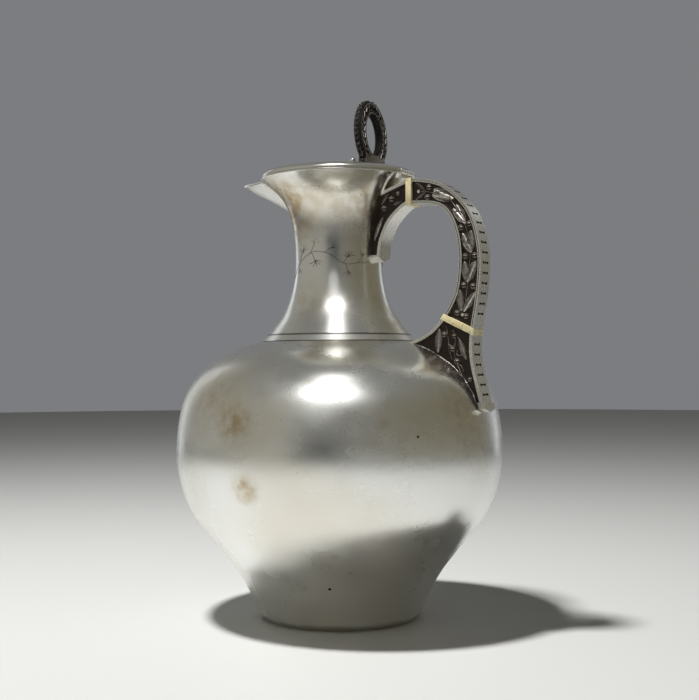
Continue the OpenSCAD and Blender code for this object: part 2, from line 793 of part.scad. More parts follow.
module lower_tenon_pin() {
    color(silver) lower_pin_rod();
}

insulator_proud = 0.3;

module upper_insulator() {
    color(ivory) difference() {
        slice(strap_w + 2 * insulator_proud) intersection() {
            handle_area(-insulator_proud);
            translate([socket_x, waist_z]) square([insulator_t, mouth_z - waist_z]);
        }
        upper_tenon_rod(tenon_r);
    }
}

module lower_insulator() {
    color(ivory) difference() {
        slice(strap_w + 2 * insulator_proud) difference() {
            intersection() {
                handle_area(-insulator_proud);
                beyond_low_cut(0);
            }
            beyond_low_cut(insulator_t);
        }
        lower_tenon_rod(tenon_r);
    }
}

// ---- Ornament ---------------------------------------------------------------------------

// A pointed oval of length l and width w, starting at the origin
module leaf_area(l, w) {
    r = (l * l / 4 + w * w / 4) / w;
    translate([l / 2, 0]) intersection() {
        translate([0, r - w / 2]) circle(r = r, $fn = 96);
        translate([0, w / 2 - r]) circle(r = r, $fn = 96);
    }
}

// A leaf with a raised rim and midrib, standing h high
module leaf(l, w, h) {
    rim = 0.16 * w;
    difference() {
        linear_extrude(height = h) leaf_area(l, w);
        translate([2.2 * rim, 0, 0.6 * h]) linear_extrude(height = h) difference() {
            leaf_area(l - 4.4 * rim, w - 2 * rim);
            translate([0, -0.06 * w]) square([l, 0.12 * w]);
        }
    }
}

module berry(r, h) {
    intersection() {
        translate([0, 0, h - r]) sphere(r = r, $fn = 24);
        cylinder(r = 2 * r, h = 2 * r, $fn = 24);
    }
}

// Something on both side plates, at a point of the side view
module on_plates(p, angle = 0) {
    for (side = [0, 1]) mirror([0, side, 0])
        translate([p[0], -plate_y, p[1]]) rotate([90, 0, 0]) rotate([0, 0, angle]) children();
}

module plate_leaf(p, q, w) {
    on_plates(p, atan2(q[1] - p[1], q[0] - p[0])) leaf(norm(q - p), w, leaf_h);
}

module plate_berry(p, size = 1) {
    on_plates(p) berry(size * berry_r, size * berry_h);
}

// The point at distance s along a line of points, and the direction there in degrees
function place_at(p, c, s) =
    [for (k = [0, 1]) lookup(s, [for (i = [0 : len(p) - 1]) [c[i], p[i][k]]])];
function heading_at(p, c, s) =
    let (d = place_at(p, c, s + 0.6) - place_at(p, c, s - 0.6)) atan2(d[1], d[0]);

berry_h = 0.95;
berry_side = tenon_pin_r + berry_r + 0.3;
leaf_gap = 0.4;
grip_middle = (spline(grip_out, line_steps) + spline(grip_in, line_steps)) / 2;
grip_run = running(grip_middle);
grip_len = grip_run[len(grip_run) - 1];
spray_first = 7.9;
spray_last = grip_len - pin_in;
spray_gaps = round((spray_last - spray_first) / spray_pitch);

// The point of the grip at distance s along its middle and d off it, outwards
function grip_at(s, d) =
    let (a = heading_at(grip_middle, grip_run, s))
    place_at(grip_middle, grip_run, s) + d * [-sin(a), cos(a)];

// Room on the plates between the grip's middle, at distance s, and the strap on one side
function half_plate(s, side) =
    let (p = place_at(grip_middle, grip_run, s))
    min([for (q = spline(side > 0 ? grip_out : grip_in, line_steps)) norm(q - p)]) - strap_t;

// One spray: two leaves that meet at their points, then two berries side by side
module spray(s, l, w) {
    base = s - berry_r - 0.2;
    tip = base - l;
    for (side = [-1, 1]) {
        room = min(half_plate(tip, side), 2 * half_plate(base - l / 2, side) - 1.5 * w);
        off = min(berry_side, half_plate(s, side) - berry_r - 0.1);
        back = sqrt(pow(berry_side, 2) - pow(off, 2));
        plate_berry(grip_at(s - back, side * off));
        plate_leaf(grip_at(base, side * w / 5), grip_at(tip, side * (room - leaf_gap)), w);
    }
}

module grip_ornament() {
    step = (spray_last - spray_first) / spray_gaps;
    color(oxidised) {
        spray(spray_first, 0.5 * leaf_l, 0.36 * leaf_w);
        for (k = [1 : spray_gaps]) spray(spray_first + k * step, leaf_l, leaf_w);
    }
}

// The upper socket's plates reach from the neck to the inner strap: a point there at a
// share of the way across, and at a share of the height from the waist to the mouth
inner_reach = [for (i = [0 : 5 * line_steps]) [inner_line[i][1], inner_line[i][0] - strap_t]];
function upper_at(across, up) =
    let (z = waist_z + up * (mouth_z - waist_z), r = radius_at(neck_outer, z))
    [r + across * (lookup(z, inner_reach) - r), z];

module upper_socket_ornament() {
    color(oxidised) {
        plate_berry(upper_at(0.48, 0.7));
        plate_berry(upper_at(0.3, 0.59));
        plate_berry(upper_at(0.72, 0.76), 0.75);
        plate_leaf(upper_at(0.5, 0.48), upper_at(0.3, 0.2), 0.6 * leaf_w);
        plate_leaf(upper_at(0.14, 0.64), upper_at(0.27, 0.76), 0.4 * leaf_w);
        plate_leaf(upper_at(0.9, 0.66), upper_at(0.62, 0.62), 0.4 * leaf_w);
    }
}

// The lower socket's plates reach from the body or the inner strap to the outer strap: a
// point there at a share of the way across, and of the height from the end to the cut
inner_start = len(inner_line) - 1 - 5 * line_steps;
outer_start = len(outer_line) - 1 - 7 * line_steps;
inner_low = reversed([for (i = [inner_start : len(inner_line) - 1]) inner_line[i]]);
outer_low = reversed([for (i = [outer_start : len(outer_line) - 1]) outer_line[i]]);
function x_at(line, z) = lookup(z, [for (p = line) [p[1], p[0]]]);
function lower_at(across, up) =
    let (z = terminal_z + up * (cut_mid[1] - terminal_z),
        left = max(z < shoulder_z ? radius_at(body_outer, z) : 0, x_at(inner_low, z) + strap_t),
        right = x_at(outer_low, z) - strap_t)
    [left + across * (right - left), z];

module lower_socket_ornament() {
    color(oxidised) {
        plate_leaf(lower_at(0.1, 0.92), lower_at(0.13, 0.66), leaf_w);
        plate_leaf(lower_at(0.8, 0.8), lower_at(0.84, 0.58), 0.75 * leaf_w);
        plate_berry(lower_at(0.38, 0.86));
        plate_berry(lower_at(0.64, 0.84), 0.8);
        plate_berry(lower_at(0.6, 0.7));
        plate_berry(lower_at(0.42, 0.56));
        plate_berry(lower_at(0.55, 0.36), 0.8);
    }
}

// ---- Ticks: a thin cut with a round pit at both ends --------------------------------------

outer_run = running(outer_line);
tick_from = outer_run[3 * line_steps] + 4;
tick_to = outer_run[len(outer_run) - 1] - 6.5;
tick_w = 0.7;
tick_pit_r = 0.65;

module ticks() {
    for (s = [tick_from : tick_pitch : tick_to]) {
        p = place_at(outer_line, outer_run, s);
        translate([p[0], 0, p[1]])
            rotate([0, -heading_at(outer_line, outer_run, s), 0]) {
                cube([tick_w, tick_l, 2 * tick_depth], center = true);
                for (side = [-1, 1]) translate([0, side * tick_l / 2, -tick_depth])
                    cylinder(r = tick_pit_r, h = 2 * tick_depth, $fn = 16);
            }
    }
}

// ---- Grip ---------------------------------------------------------------------------------

module grip_outer_strap() {
    color(silver) difference() {
        slice(strap_w) intersection() {
            strap_area(outer_line, -strap_t);
            grip_zone();
        }
        ticks();
    }
}

module grip_inner_strap() {
    color(silver) slice(strap_w) intersection() {
        strap_area(inner_line, strap_t);
        grip_zone();
    }
}

module grip_plates() {
    color(silver) difference() {
        plate_pair() intersection() {
            handle_area(strap_t);
            grip_zone();
        }
        upper_pin_rod();
        lower_pin_rod();
    }
}

module grip_end_caps() {
    color(silver) difference() {
        core_slice() intersection() {
            handle_area(strap_t);
            difference() {
                grip_zone();
                grip_zone(1);
            }
        }
        upper_tenon_rod(tenon_r);
        lower_tenon_rod(tenon_r);
    }
}

// ---- Upper socket -------------------------------------------------------------------------

tongue_z = waist_z - 2.4;
tongue_slope = 0.4;
tongue_t = 1;

module upper_socket_outer_strap() {
    color(silver) difference() {
        slice(strap_w) intersection() {
            strap_area(outer_line, -strap_t);
            upper_zone();
        }
        neck_solid();
    }
}

module upper_socket_inner_strap() {
    color(silver) difference() {
        intersection() {
            union() {
                slice(strap_w) intersection() {
                    strap_area(inner_line, strap_t);
                    upper_zone();
                }
                intersection() {
                    slice(strap_w) intersection() {
                        handle_area(strap_t / 2);
                        upper_zone();
                    }
                    chevron(tongue_z, tongue_slope, tongue_t);
                }
            }
            chevron(tongue_z, tongue_slope, mouth_z - waist_z);
        }
        neck_solid();
    }
}

module upper_socket_plates() {
    color(silver) difference() {
        union() {
            intersection() {
                plate_pair() intersection() {
                    handle_area(strap_t);
                    upper_zone();
                }
                chevron(tongue_z + tongue_t, tongue_slope, mouth_z - waist_z);
            }
            core_slice() intersection() {
                handle_area(strap_t);
                difference() {
                    upper_zone();
                    upper_zone(1);
                }
            }
        }
        neck_solid();
        upper_tenon_rod(tenon_r);
    }
}

// ---- Lower socket -------------------------------------------------------------------------

terminal_z = belly_z + 0.325 * (shoulder_z - belly_z);
terminal_slope = 0.3;
terminal_h = 2.6;
terminal_proud = 0.9;

module lower_socket_outer_strap() {
    color(silver) difference() {
        intersection() {
            union() {
                slice(strap_w) intersection() {
                    strap_area(outer_line, -strap_t);
                    beyond_low_cut(insulator_t);
                }
                intersection() {
                    slice(strap_w) intersection() {
                        strap_area(shift(outer_line, terminal_proud),
                            -strap_t - 2 * terminal_proud);
                        beyond_low_cut(insulator_t);
                    }
                    chevron(terminal_z, terminal_slope, terminal_h);
                }
            }
            chevron(terminal_z, terminal_slope, belly_z);
        }
        body_solid();
        ticks();
    }
}

module lower_socket_inner_strap() {
    color(silver) difference() {
        slice(strap_w) intersection() {
            strap_area(inner_line, strap_t);
            beyond_low_cut(insulator_t);
        }
        body_solid();
        neck_solid();
    }
}

module lower_socket_plates() {
    color(silver) difference() {
        union() {
            intersection() {
                plate_pair() intersection() {
                    handle_area(strap_t);
                    beyond_low_cut(insulator_t);
                }
                chevron(terminal_z + terminal_h, terminal_slope, belly_z);
            }
            core_slice() intersection() {
                handle_area(strap_t);
                difference() {
                    beyond_low_cut(insulator_t);
                    beyond_low_cut(insulator_t + 1);
                }
            }
        }
        body_solid();
        lower_tenon_rod(tenon_r);
    }
}

// ---- What is drawn ------------------------------------------------------------------------

body_shell();
base_plate();
neck_shell();
beak();
beak_wire();
mouth_wire();
upper_socket_outer_strap();
upper_socket_inner_strap();
upper_socket_plates();
upper_socket_ornament();
upper_insulator();
upper_tenon();
upper_tenon_pin();
grip_outer_strap();
grip_inner_strap();
grip_plates();
grip_end_caps();
grip_ornament();
lower_insulator();
lower_tenon();
lower_tenon_pin();
lower_socket_outer_strap();
lower_socket_inner_strap();
lower_socket_plates();
lower_socket_ornament();
hinge_base();
hinge_pin();
hinge_cover_leaf();
cover();
cover_bezel();
wreath();
wreath_ornament();
wreath_scroll();
wreath_screw();
wreath_nut();
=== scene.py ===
# %% [markdown]
# # A silver-plated coffee pot
# The pot is a spun bulb with a waisted neck, a raised beak, a hinged cover with an open
# wreath for the thumb, and a hollow handle that two pale insulators part from the metal.
# Plain solids give every piece its place and size. This file gives each one its finish, and
# rebuilds what needs a finer surface than a working drawing has.

# %% Load the frame
import json
import math

import bmesh
import bpy
import numpy as np
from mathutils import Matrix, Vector, geometry, noise
from mathutils.bvhtree import BVHTree


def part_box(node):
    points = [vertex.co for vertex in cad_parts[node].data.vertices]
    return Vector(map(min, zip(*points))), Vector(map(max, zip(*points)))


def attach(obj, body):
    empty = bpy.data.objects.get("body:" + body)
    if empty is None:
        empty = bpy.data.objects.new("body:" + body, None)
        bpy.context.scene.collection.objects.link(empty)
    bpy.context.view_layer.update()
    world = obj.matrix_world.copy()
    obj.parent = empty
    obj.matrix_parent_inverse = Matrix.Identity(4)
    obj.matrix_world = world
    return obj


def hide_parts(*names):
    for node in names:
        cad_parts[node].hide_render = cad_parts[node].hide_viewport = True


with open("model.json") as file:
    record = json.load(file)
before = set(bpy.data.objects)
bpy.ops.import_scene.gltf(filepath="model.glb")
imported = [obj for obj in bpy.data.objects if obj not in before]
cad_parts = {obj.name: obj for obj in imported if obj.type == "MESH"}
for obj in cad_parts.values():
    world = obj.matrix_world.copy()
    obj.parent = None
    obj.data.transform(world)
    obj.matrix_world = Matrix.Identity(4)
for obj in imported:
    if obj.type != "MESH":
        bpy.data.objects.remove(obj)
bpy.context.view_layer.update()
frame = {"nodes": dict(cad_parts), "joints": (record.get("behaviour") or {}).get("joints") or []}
NODES = frame["nodes"]
MM = 0.001

# %% [markdown]
# The camera stands where a person would sit: half a metre away and a little below the
# middle of the pot, level, with the handle turned 32 degrees towards it. Shift, and not
# tilt, puts the pot in the frame, so upright lines stay upright.

# %% Camera
VIEW_TURN = math.radians(32)
VIEW_DISTANCE = 0.5355
VIEW_HEIGHT = 0.1125
FRAME_PX = 700
FOCAL_PX = 1190
AXIS_PX = 339.3
HORIZON_PX = 365
FRAME_MIDDLE = (349.5, 350)
ROLL = math.radians(0.22)

camera_data = bpy.data.cameras.new("camera")
camera_data.sensor_width = 36
camera_data.lens = FOCAL_PX * camera_data.sensor_width / FRAME_PX
camera_data.shift_x = (FRAME_MIDDLE[0] - AXIS_PX) / FRAME_PX
camera_data.shift_y = (HORIZON_PX - FRAME_MIDDLE[1]) / FRAME_PX
camera_data.clip_start = 0.01
camera = bpy.data.objects.new("camera", camera_data)
camera.location = (VIEW_DISTANCE * math.sin(VIEW_TURN),
                   -VIEW_DISTANCE * math.cos(VIEW_TURN), VIEW_HEIGHT)
camera.rotation_euler = (math.pi / 2, ROLL, VIEW_TURN)
bpy.context.scene.collection.objects.link(camera)
bpy.context.scene.camera = camera
print("camera at", [round(c, 3) for c in camera.location])

# %% [markdown]
# A finish is built from nodes. The sums between them are long to write node by node, so one
# small class wraps a socket and lets Python's own signs build the Math nodes. A second one
# holds the material and adds any other node from its type, its settings and its inputs.

# %% Tools for finishes
class Tone:
    """A number that varies over a surface: the output of a node."""

    def __init__(self, finish, socket):
        self.finish = finish
        self.socket = socket

    def sum(self, operation, *values):
        return self.finish.node("ShaderNodeMath", {"operation": operation},
                                dict(enumerate(values)))

    def __add__(self, other):
        return self.sum("ADD", self, other)

    def __sub__(self, other):
        return self.sum("SUBTRACT", self, other)

    def __rsub__(self, other):
        return self.sum("SUBTRACT", other, self)

    def __mul__(self, other):
        return self.sum("MULTIPLY", self, other)

    def __truediv__(self, other):
        return self.sum("DIVIDE", self, other)

    def __pow__(self, other):
        return self.sum("POWER", self, other)

    __radd__ = __add__
    __rmul__ = __mul__

    def least(self, other):
        return self.sum("MINIMUM", self, other)

    def most(self, other):
        return self.sum("MAXIMUM", self, other)

    def size(self):
        return self.sum("ABSOLUTE", self)

    def sine(self):
        return self.sum("SINE", self)

    def cosine(self):
        return self.sum("COSINE", self)

    def ease(self, low, high):
        """0 below low, 1 above high, and a smooth step between them."""
        return self.finish.node("ShaderNodeMapRange", {"interpolation_type": "SMOOTHSTEP"},
                                {"Value": self, "From Min": low, "From Max": high})


class Nodes:
    """A node tree, and the tools to fill it."""

    def node(self, kind, settings=None, inputs=None, out=0):
        made = self.tree.nodes.new(kind)
        for key, value in (settings or {}).items():
            if key == "stops":
                ramp = made.color_ramp
                while len(ramp.elements) < len(value):
                    ramp.elements.new(1)
                for element, (position, colour) in zip(ramp.elements, value):
                    element.position = position
                    element.color = (*colour, 1)
            else:
                setattr(made, key, value)
        for key, value in (inputs or {}).items():
            self.feed(made.inputs[key], value)
        return Tone(self, made.outputs[out])

    def feed(self, socket, value):
        if isinstance(value, Tone):
            self.tree.links.new(value.socket, socket)
        elif socket.type == "RGBA" and len(value) == 3:
            socket.default_value = (*value, 1)
        else:
            socket.default_value = value

    def mix(self, mask, first, second):
        """The first colour where the mask is 0, the second where it is 1."""
        return self.node("ShaderNodeMix", {"data_type": "RGBA"}, {0: mask, 6: first, 7: second},
                         out=2)


class Finish(Nodes):
    """A material with one Principled shader."""

    def __init__(self, name):
        self.material = bpy.data.materials.new(name)
        self.material.use_nodes = True
        self.tree = self.material.node_tree
        self.shader = self.tree.nodes["Principled BSDF"]
        self.place = self.node("ShaderNodeTexCoord", out="Object")

    def set(self, **inputs):
        for key, value in inputs.items():
            socket = key.replace("_", " ").title().replace("Ior", "IOR")
            self.feed(self.shader.inputs[socket], value)

    def cloud(self, size_mm, detail=3, rough=0.5, stretch=(1, 1, 1), warp=0):
        """Smooth noise, about 0 to 1, with blotches of a given size in millimetres."""
        place = self.node("ShaderNodeMapping", None, {"Vector": self.place, "Scale": stretch})
        return self.node("ShaderNodeTexNoise", None,
                         {"Vector": place, "Scale": 1 / (size_mm * MM), "Detail": detail,
                          "Roughness": rough, "Distortion": warp})

    def near(self, point, reach_mm, soft=0.5):
        """1 at a point in metres, fading to 0 at a distance in millimetres."""
        gap = self.node("ShaderNodeVectorMath", {"operation": "DISTANCE"},
                        {0: self.place, 1: point}, out="Value")
        return 1 - gap.ease(reach_mm * MM * (1 - soft), reach_mm * MM)

    def attribute(self, name):
        return self.node("ShaderNodeAttribute", {"attribute_name": name}, out="Fac")

    def bump(self, height, strength, reach_mm):
        self.feed(self.shader.inputs["Normal"],
                  self.node("ShaderNodeBump", None, {"Height": height, "Strength": strength,
                                                     "Distance": reach_mm * MM}))

# %% [markdown]
# ## Spun pieces
# The bulb, the neck and the cover were turned from sheet on a lathe, so a mirror-like
# surface runs round them without a break. The plain solid has the right outline, but each
# step between two of its points shows as a ring in the reflections. The outline is read
# from the solid, bent into a smooth curve and turned again with many more steps.

# %% Outline of a spun node
def node_faces(node):
    """The corners of a node's triangles or polygons, their normals and centres, in mm."""
    mesh = NODES[node].data
    points = np.empty(len(mesh.vertices) * 3)
    mesh.vertices.foreach_get("co", points)
    points = points.reshape(-1, 3) / MM
    normals = np.array([face.normal for face in mesh.polygons])
    centres = np.array([face.center for face in mesh.polygons]) / MM
    return points, [list(face.vertices) for face in mesh.polygons], normals, centres


def outline_of(node, up_too=False):
    """The outer outline of a spun node, from its foot to its top: radius and height."""
    points, faces, normals, centres = node_faces(node)
    outwards = centres[:, :2] / np.maximum(np.linalg.norm(centres[:, :2], axis=1), 0.01)[:, None]
    leaning = (normals[:, :2] * outwards).sum(1)
    side_on = np.abs(outwards[:, 1]) > math.sin(math.radians(60))
    wanted = side_on & ((leaning > 0.06) | (up_too & (normals[:, 2] > 0.5)))
    found = {}
    for k in np.nonzero(wanted)[0]:
        for corner in points[faces[k]]:
            radius = math.hypot(corner[0], corner[1])
            found[(round(radius, 1), round(corner[2], 1))] = (radius, corner[2])
    return np.array(sorted(found.values(), key=lambda p: (round(p[1], 2), -p[0])))


def smooth_line(points, steps):
    """A curve with no kink through points, as a natural cubic spline, in even steps."""
    points = np.asarray(points, dtype=float)
    run = np.concatenate([[0], np.cumsum(np.linalg.norm(np.diff(points, axis=0), axis=1))])
    gap = np.diff(run)
    count = len(points)
    system = np.eye(count)
    right = np.zeros_like(points)
    for i in range(1, count - 1):
        system[i, i - 1:i + 2] = gap[i - 1], 2 * (gap[i - 1] + gap[i]), gap[i]
        right[i] = 6 * ((points[i + 1] - points[i]) / gap[i]
                        - (points[i] - points[i - 1]) / gap[i - 1])
    bend = np.linalg.solve(system, right)
    at = np.linspace(0, run[-1], steps + 1)
    i = np.clip(np.searchsorted(run, at, side="right") - 1, 0, count - 2)
    h = gap[i][:, None]
    a = (run[i + 1] - at)[:, None] / h
    b = 1 - a
    return (a * points[i] + b * points[i + 1]
            + ((a ** 3 - a) * bend[i] + (b ** 3 - b) * bend[i + 1]) * h * h / 6)


def inset(line, wall):
    """A line of points moved sideways, to the left of its run."""
    along = np.gradient(line, axis=0)
    along /= np.linalg.norm(along, axis=1)[:, None]
    return line + wall * np.stack([-along[:, 1], along[:, 0]], axis=1)


body_line = outline_of("body_shell")
neck_line = outline_of("neck_shell")
cover_line = outline_of("cover", up_too=True)
print("outline points:", len(body_line), len(neck_line), len(cover_line))

# %% Turning an outline
SPUN_STEPS = 192


def piece(name, points, faces, body, finish, slot=None, smooth_angle=35):
    """A new object from points in millimetres, riding on a body."""
    mesh = bpy.data.meshes.new(name)
    mesh.from_pydata([Vector(p) * MM for p in points], [], [list(face) for face in faces])
    return finished(name, mesh, body, finish, smooth_angle)


def finished(name, mesh, body, finish, smooth_angle=35):
    """Merges doubles, turns faces outwards, marks sharp edges and sets the finish."""
    work = bmesh.new()
    work.from_mesh(mesh)
    bmesh.ops.remove_doubles(work, verts=work.verts, dist=1e-6)
    bmesh.ops.recalc_face_normals(work, faces=work.faces)
    work.to_mesh(mesh)
    work.free()
    for face in mesh.polygons:
        face.use_smooth = True
    mesh.set_sharp_from_angle(angle=math.radians(smooth_angle))
    mesh.materials.clear()
    mesh.materials.append(finish.material)
    made = bpy.data.objects.new(name, mesh)
    bpy.context.scene.collection.objects.link(made)
    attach(made, body)
    return made


def turned(line, steps=SPUN_STEPS):
    """Points and faces of a closed outline [radius, height] turned about the axis."""
    rows = [(r, z) for r, z in line]
    turn = [2 * math.pi * k / steps for k in range(steps)]
    points = [(r * math.cos(a), r * math.sin(a), z) for a in turn for r, z in rows]
    count = len(rows)
    faces = []
    for k in range(steps):
        here, there = k * count, (k + 1) % steps * count
        for i in range(count):
            j = (i + 1) % count
            faces.append((here + i, there + i, there + j, here + j))
    return points, faces


def on_turned(line, x, z, back=False):
    """A point on a spun surface: x to the viewer's right of the axis and z high, in mm."""
    order = np.argsort(line[:, 1])
    radius = float(np.interp(z, line[order, 1], line[order, 0]))
    turn = VIEW_TURN
    depth = math.sqrt(max(radius ** 2 - x ** 2, 0))
    y = x * math.sin(turn) - depth * math.cos(turn)
    return Vector((x * math.cos(turn) + depth * math.sin(turn), -y if back else y, z))


# %% Cutting one mesh out of another
def carved(points, faces, cutters):
    """The mesh of a closed shape, with closed shapes (points, faces) cut out of it."""
    def plain(name, points, faces):
        mesh = bpy.data.meshes.new(name)
        mesh.from_pydata([Vector(p) * MM for p in points], [], [list(face) for face in faces])
        work = bmesh.new()
        work.from_mesh(mesh)
        bmesh.ops.remove_doubles(work, verts=work.verts, dist=1e-6)
        bmesh.ops.recalc_face_normals(work, faces=work.faces)
        work.to_mesh(mesh)
        work.free()
        made = bpy.data.objects.new(name, mesh)
        bpy.context.scene.collection.objects.link(made)
        return made

    solid = plain("blank", points, faces)
    tools = [plain("cutter", *cutter) for cutter in cutters]
    for tool in tools:
        cut = solid.modifiers.new("cut", "BOOLEAN")
        cut.operation = "DIFFERENCE"
        cut.solver = "EXACT"
        cut.object = tool
    result = bpy.data.meshes.new_from_object(
        solid.evaluated_get(bpy.context.evaluated_depsgraph_get()))
    for made in [solid, *tools]:
        bpy.data.objects.remove(made)
    return result


def prism(outline, axis, low, high):
    """A closed outline pushed along an axis from one height to another."""
    count = len(outline)
    points = [np.insert(np.array(p, dtype=float), axis, level)
              for level in (low, high) for p in outline]
    sides = [(i, (i + 1) % count, count + (i + 1) % count, count + i) for i in range(count)]
    return points, [tuple(range(count)), tuple(range(2 * count - 1, count - 1, -1)), *sides]

# %% [markdown]
# ## Finishes
# Old silver plate is never even. Years of polishing leave a soft haze and fine rubbed lines,
# and between them sit clouds of thin tarnish, warmer and duller than the clean metal. Each
# is a layer of noise, and they drive the colour, the roughness and a very faint bump. The
# noise is read from Object coordinates, so it stays put on the metal from every side.

# %% Finishes of the silver
CLEAN_SILVER = (0.86, 0.865, 0.845)
WARM_SILVER = (0.75, 0.72, 0.63)
STAIN_AND_SHADE = (0.47, 0.36, 0.2)
SOOT = (0.03, 0.024, 0.02)


def spun_silver(name, dull, stains_and_shade=(), pits=(), seams=()):
    """Polished plate gone hazy: stains_and_shade are (point, reach, strength), pits points, in
    mm. The spots are tarnish; on the neck's flare they are painted shade as well.
    """
    finish = Finish(name)
    haze = finish.cloud(24, detail=3, rough=0.55).ease(0.36, 0.7)
    film = finish.cloud(55, detail=2, rough=0.5).ease(0.35, 0.72)
    grain = finish.cloud(2.6, detail=0)
    rubbed = finish.cloud(18, detail=1, stretch=(1, 1, 5))
    speck = finish.node("ShaderNodeTexVoronoi", None,
                        {"Vector": finish.place, "Scale": 1 / (6 * MM)})
    speck = (1 - speck.ease(0.03, 0.08)) * finish.cloud(14, detail=1).ease(0.5, 0.6)
    colour = finish.mix(film * 0.8, CLEAN_SILVER, WARM_SILVER)
    rough = dull + 0.09 * haze + 0.05 * rubbed + 0.05 * film
    # Warm brown spots of tarnish; on the neck's flare they also paint shade into the colour.
    for point, reach, strength in stains_and_shade:
        spot = finish.near(tuple(point * MM), reach, 0.95)
        spot = spot * (0.4 + finish.cloud(4, detail=3).ease(0.3, 0.7))
        colour = finish.mix((spot * strength).least(1), colour, STAIN_AND_SHADE)
        rough = rough + 0.06 * spot
    colour = finish.mix(speck * 0.55, colour, STAIN_AND_SHADE)
    for point, reach in pits:
        colour = finish.mix(finish.near(tuple(point * MM), reach, 0.5), colour, SOOT)
    height = finish.node("ShaderNodeSeparateXYZ", None, {0: finish.place}, out=2)
    for level in seams:
        line = 1 - (height - level * MM).size().ease(0.12 * MM, 0.42 * MM)
        colour = finish.mix(line * (0.55 + 0.4 * finish.cloud(7, detail=2)), colour, SOOT)
    finish.set(base_color=colour, roughness=rough, metallic=1.0)
    finish.bump(grain * 0.6 - 0.4 * speck, 0.02, 0.5)
    return finish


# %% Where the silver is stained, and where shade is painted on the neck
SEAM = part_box("neck_shell")[0][2] / MM
bulb_stains = [(on_turned(body_line, -42, 89), 13, 0.65), (on_turned(body_line, -38, 63), 9, 0.7),
               (on_turned(body_line, 17, 89), 5, 0.3), (on_turned(body_line, 52, 92), 24, 0.35),
               (on_turned(body_line, -52, 100), 22, 0.3),
               (on_turned(body_line, 30, 70, back=True), 14, 0.5)]
# Round the flare at the top of the neck the spots are partly tarnish and partly painted shade:
# they darken the flare where it mirrors the bright floor.
neck_tarnish_and_shade = [(on_turned(neck_line, -22, 183), 26, 0.85),
               (on_turned(neck_line, 0, 186), 22, 0.3), (on_turned(neck_line, 20, 187), 17, 0.65),
               (on_turned(neck_line, 10, 174), 20, 0.3), (on_turned(neck_line, 26, 130), 20, 0.4),
               (on_turned(neck_line, -14, 140), 14, 0.25),
               (on_turned(neck_line, 4, 180, back=True), 17, 0.5)]
bulb_pits = [(on_turned(body_line, -4.3, 20), 0.9), (on_turned(body_line, 31, 84), 0.7),
             (on_turned(body_line, -10, 52, back=True), 0.8)]
bulb_silver = spun_silver("bulb_silver", 0.2, bulb_stains, bulb_pits,
                          [SEAM - 0.2, SEAM - 3.0])
neck_silver = spun_silver("neck_silver", 0.13, neck_tarnish_and_shade, [], [SEAM])
wire_silver = spun_silver("wire_silver", 0.16)

# %% Finishes of the handle
def cast_silver(name, dark, light, rough, metal=0.55):
    """Cast plate: what stands proud is rubbed bright, and what lies low stays dark."""
    finish = Finish(name)
    raised = finish.attribute("raised")
    patchy = finish.cloud(1.6, detail=4, rough=0.6)
    shine = (raised + (patchy - 0.5) * 0.5).ease(0.15, 0.85)
    finish.set(base_color=finish.mix(shine, dark, light), metallic=metal + (1 - metal) * shine,
               roughness=rough + 0.3 * (1 - shine) + 0.12 * patchy)
    finish.bump(patchy, 0.25, 0.25)
    return finish


strap_silver = cast_silver("strap_silver", (0.03, 0.026, 0.022), (0.80, 0.79, 0.74), 0.22)
relief_silver = cast_silver("relief_silver", (0.02, 0.016, 0.014), (0.62, 0.575, 0.52), 0.22)
wreath_silver = cast_silver("wreath_silver", (0.008, 0.007, 0.006), (0.4, 0.375, 0.35), 0.2)
ground_silver = cast_silver("ground_silver", (0.012, 0.009, 0.008), (0.05, 0.039, 0.034), 0.4)


def old_ivory():
    """Cream bone, yellower in patches, with fine dark cracks and a waxy gloss."""
    finish = Finish("old_ivory")
    age = finish.cloud(5, detail=3).ease(0.3, 0.7)
    crack = finish.node("ShaderNodeTexVoronoi", {"feature": "DISTANCE_TO_EDGE"},
                        {"Vector": finish.place, "Scale": 1 / (4 * MM)})
    crack = (1 - crack.ease(0.0, 0.025)) * finish.cloud(3, detail=2).ease(0.45, 0.6)
    colour = finish.mix(age, (0.83, 0.76, 0.50), (0.72, 0.60, 0.31))
    colour = finish.mix(crack, colour, (0.09, 0.055, 0.03))
    finish.set(base_color=colour, roughness=0.34 + 0.2 * age)
    finish.bump(finish.cloud(0.8, detail=3) - crack, 0.2, 0.2)
    return finish


ivory = old_ivory()
print("finishes:", len(bpy.data.materials))

# %% [markdown]
# ## The pot
# The bulb and its collar are one shell: the outline runs from the ring that it stands on,
# round the belly and in to a corner under the neck. The neck is a second shell, soldered
# into the collar, and the cover a third. Each is a smooth outline with an inner side set in
# by the thickness of the sheet, turned in 192 steps.

# %% Bulb, neck and cover
WALL = 1.0
COLLAR_H = 3.0
KNOT_STRIDE = 3


def every_third(line):
    """Fewer points of an outline, with both ends kept: the curve between them is smoother."""
    return np.concatenate([line[:-1:KNOT_STRIDE], line[-1:]])


def spun_wall(name, outer, wall, body, finish, node, cutters=()):
    """A thin spun wall whose outer side runs along a smooth curve."""
    inner = inset(outer, wall)[::3]
    points, faces = turned(np.concatenate([outer, inner[::-1]]))
    made = finished(name, carved(points, faces, cutters), body, finish)
    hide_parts(node)
    print(name, "faces:", len(made.data.polygons))
    return made


def cut_edge(node):
    """Half the width of the gap behind the beak, at each height, read from the neck."""
    points, faces, normals, centres = node_faces(node)
    found = {}
    for k in range(len(faces)):
        if centres[k][0] < -10 and abs(normals[k][0]) < 0.01 and abs(normals[k][1]) > 0.3:
            for corner in points[faces[k]]:
                found[round(corner[2], 1)] = (abs(corner[1]), corner[2])
    return np.array([found[key] for key in sorted(found)])


hinge_line = Vector(frame["joints"][0]["pos_m"]) / MM
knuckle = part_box("hinge_base")[1][2] / MM - hinge_line[2]
hinge_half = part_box("hinge_base")[1][1] / MM


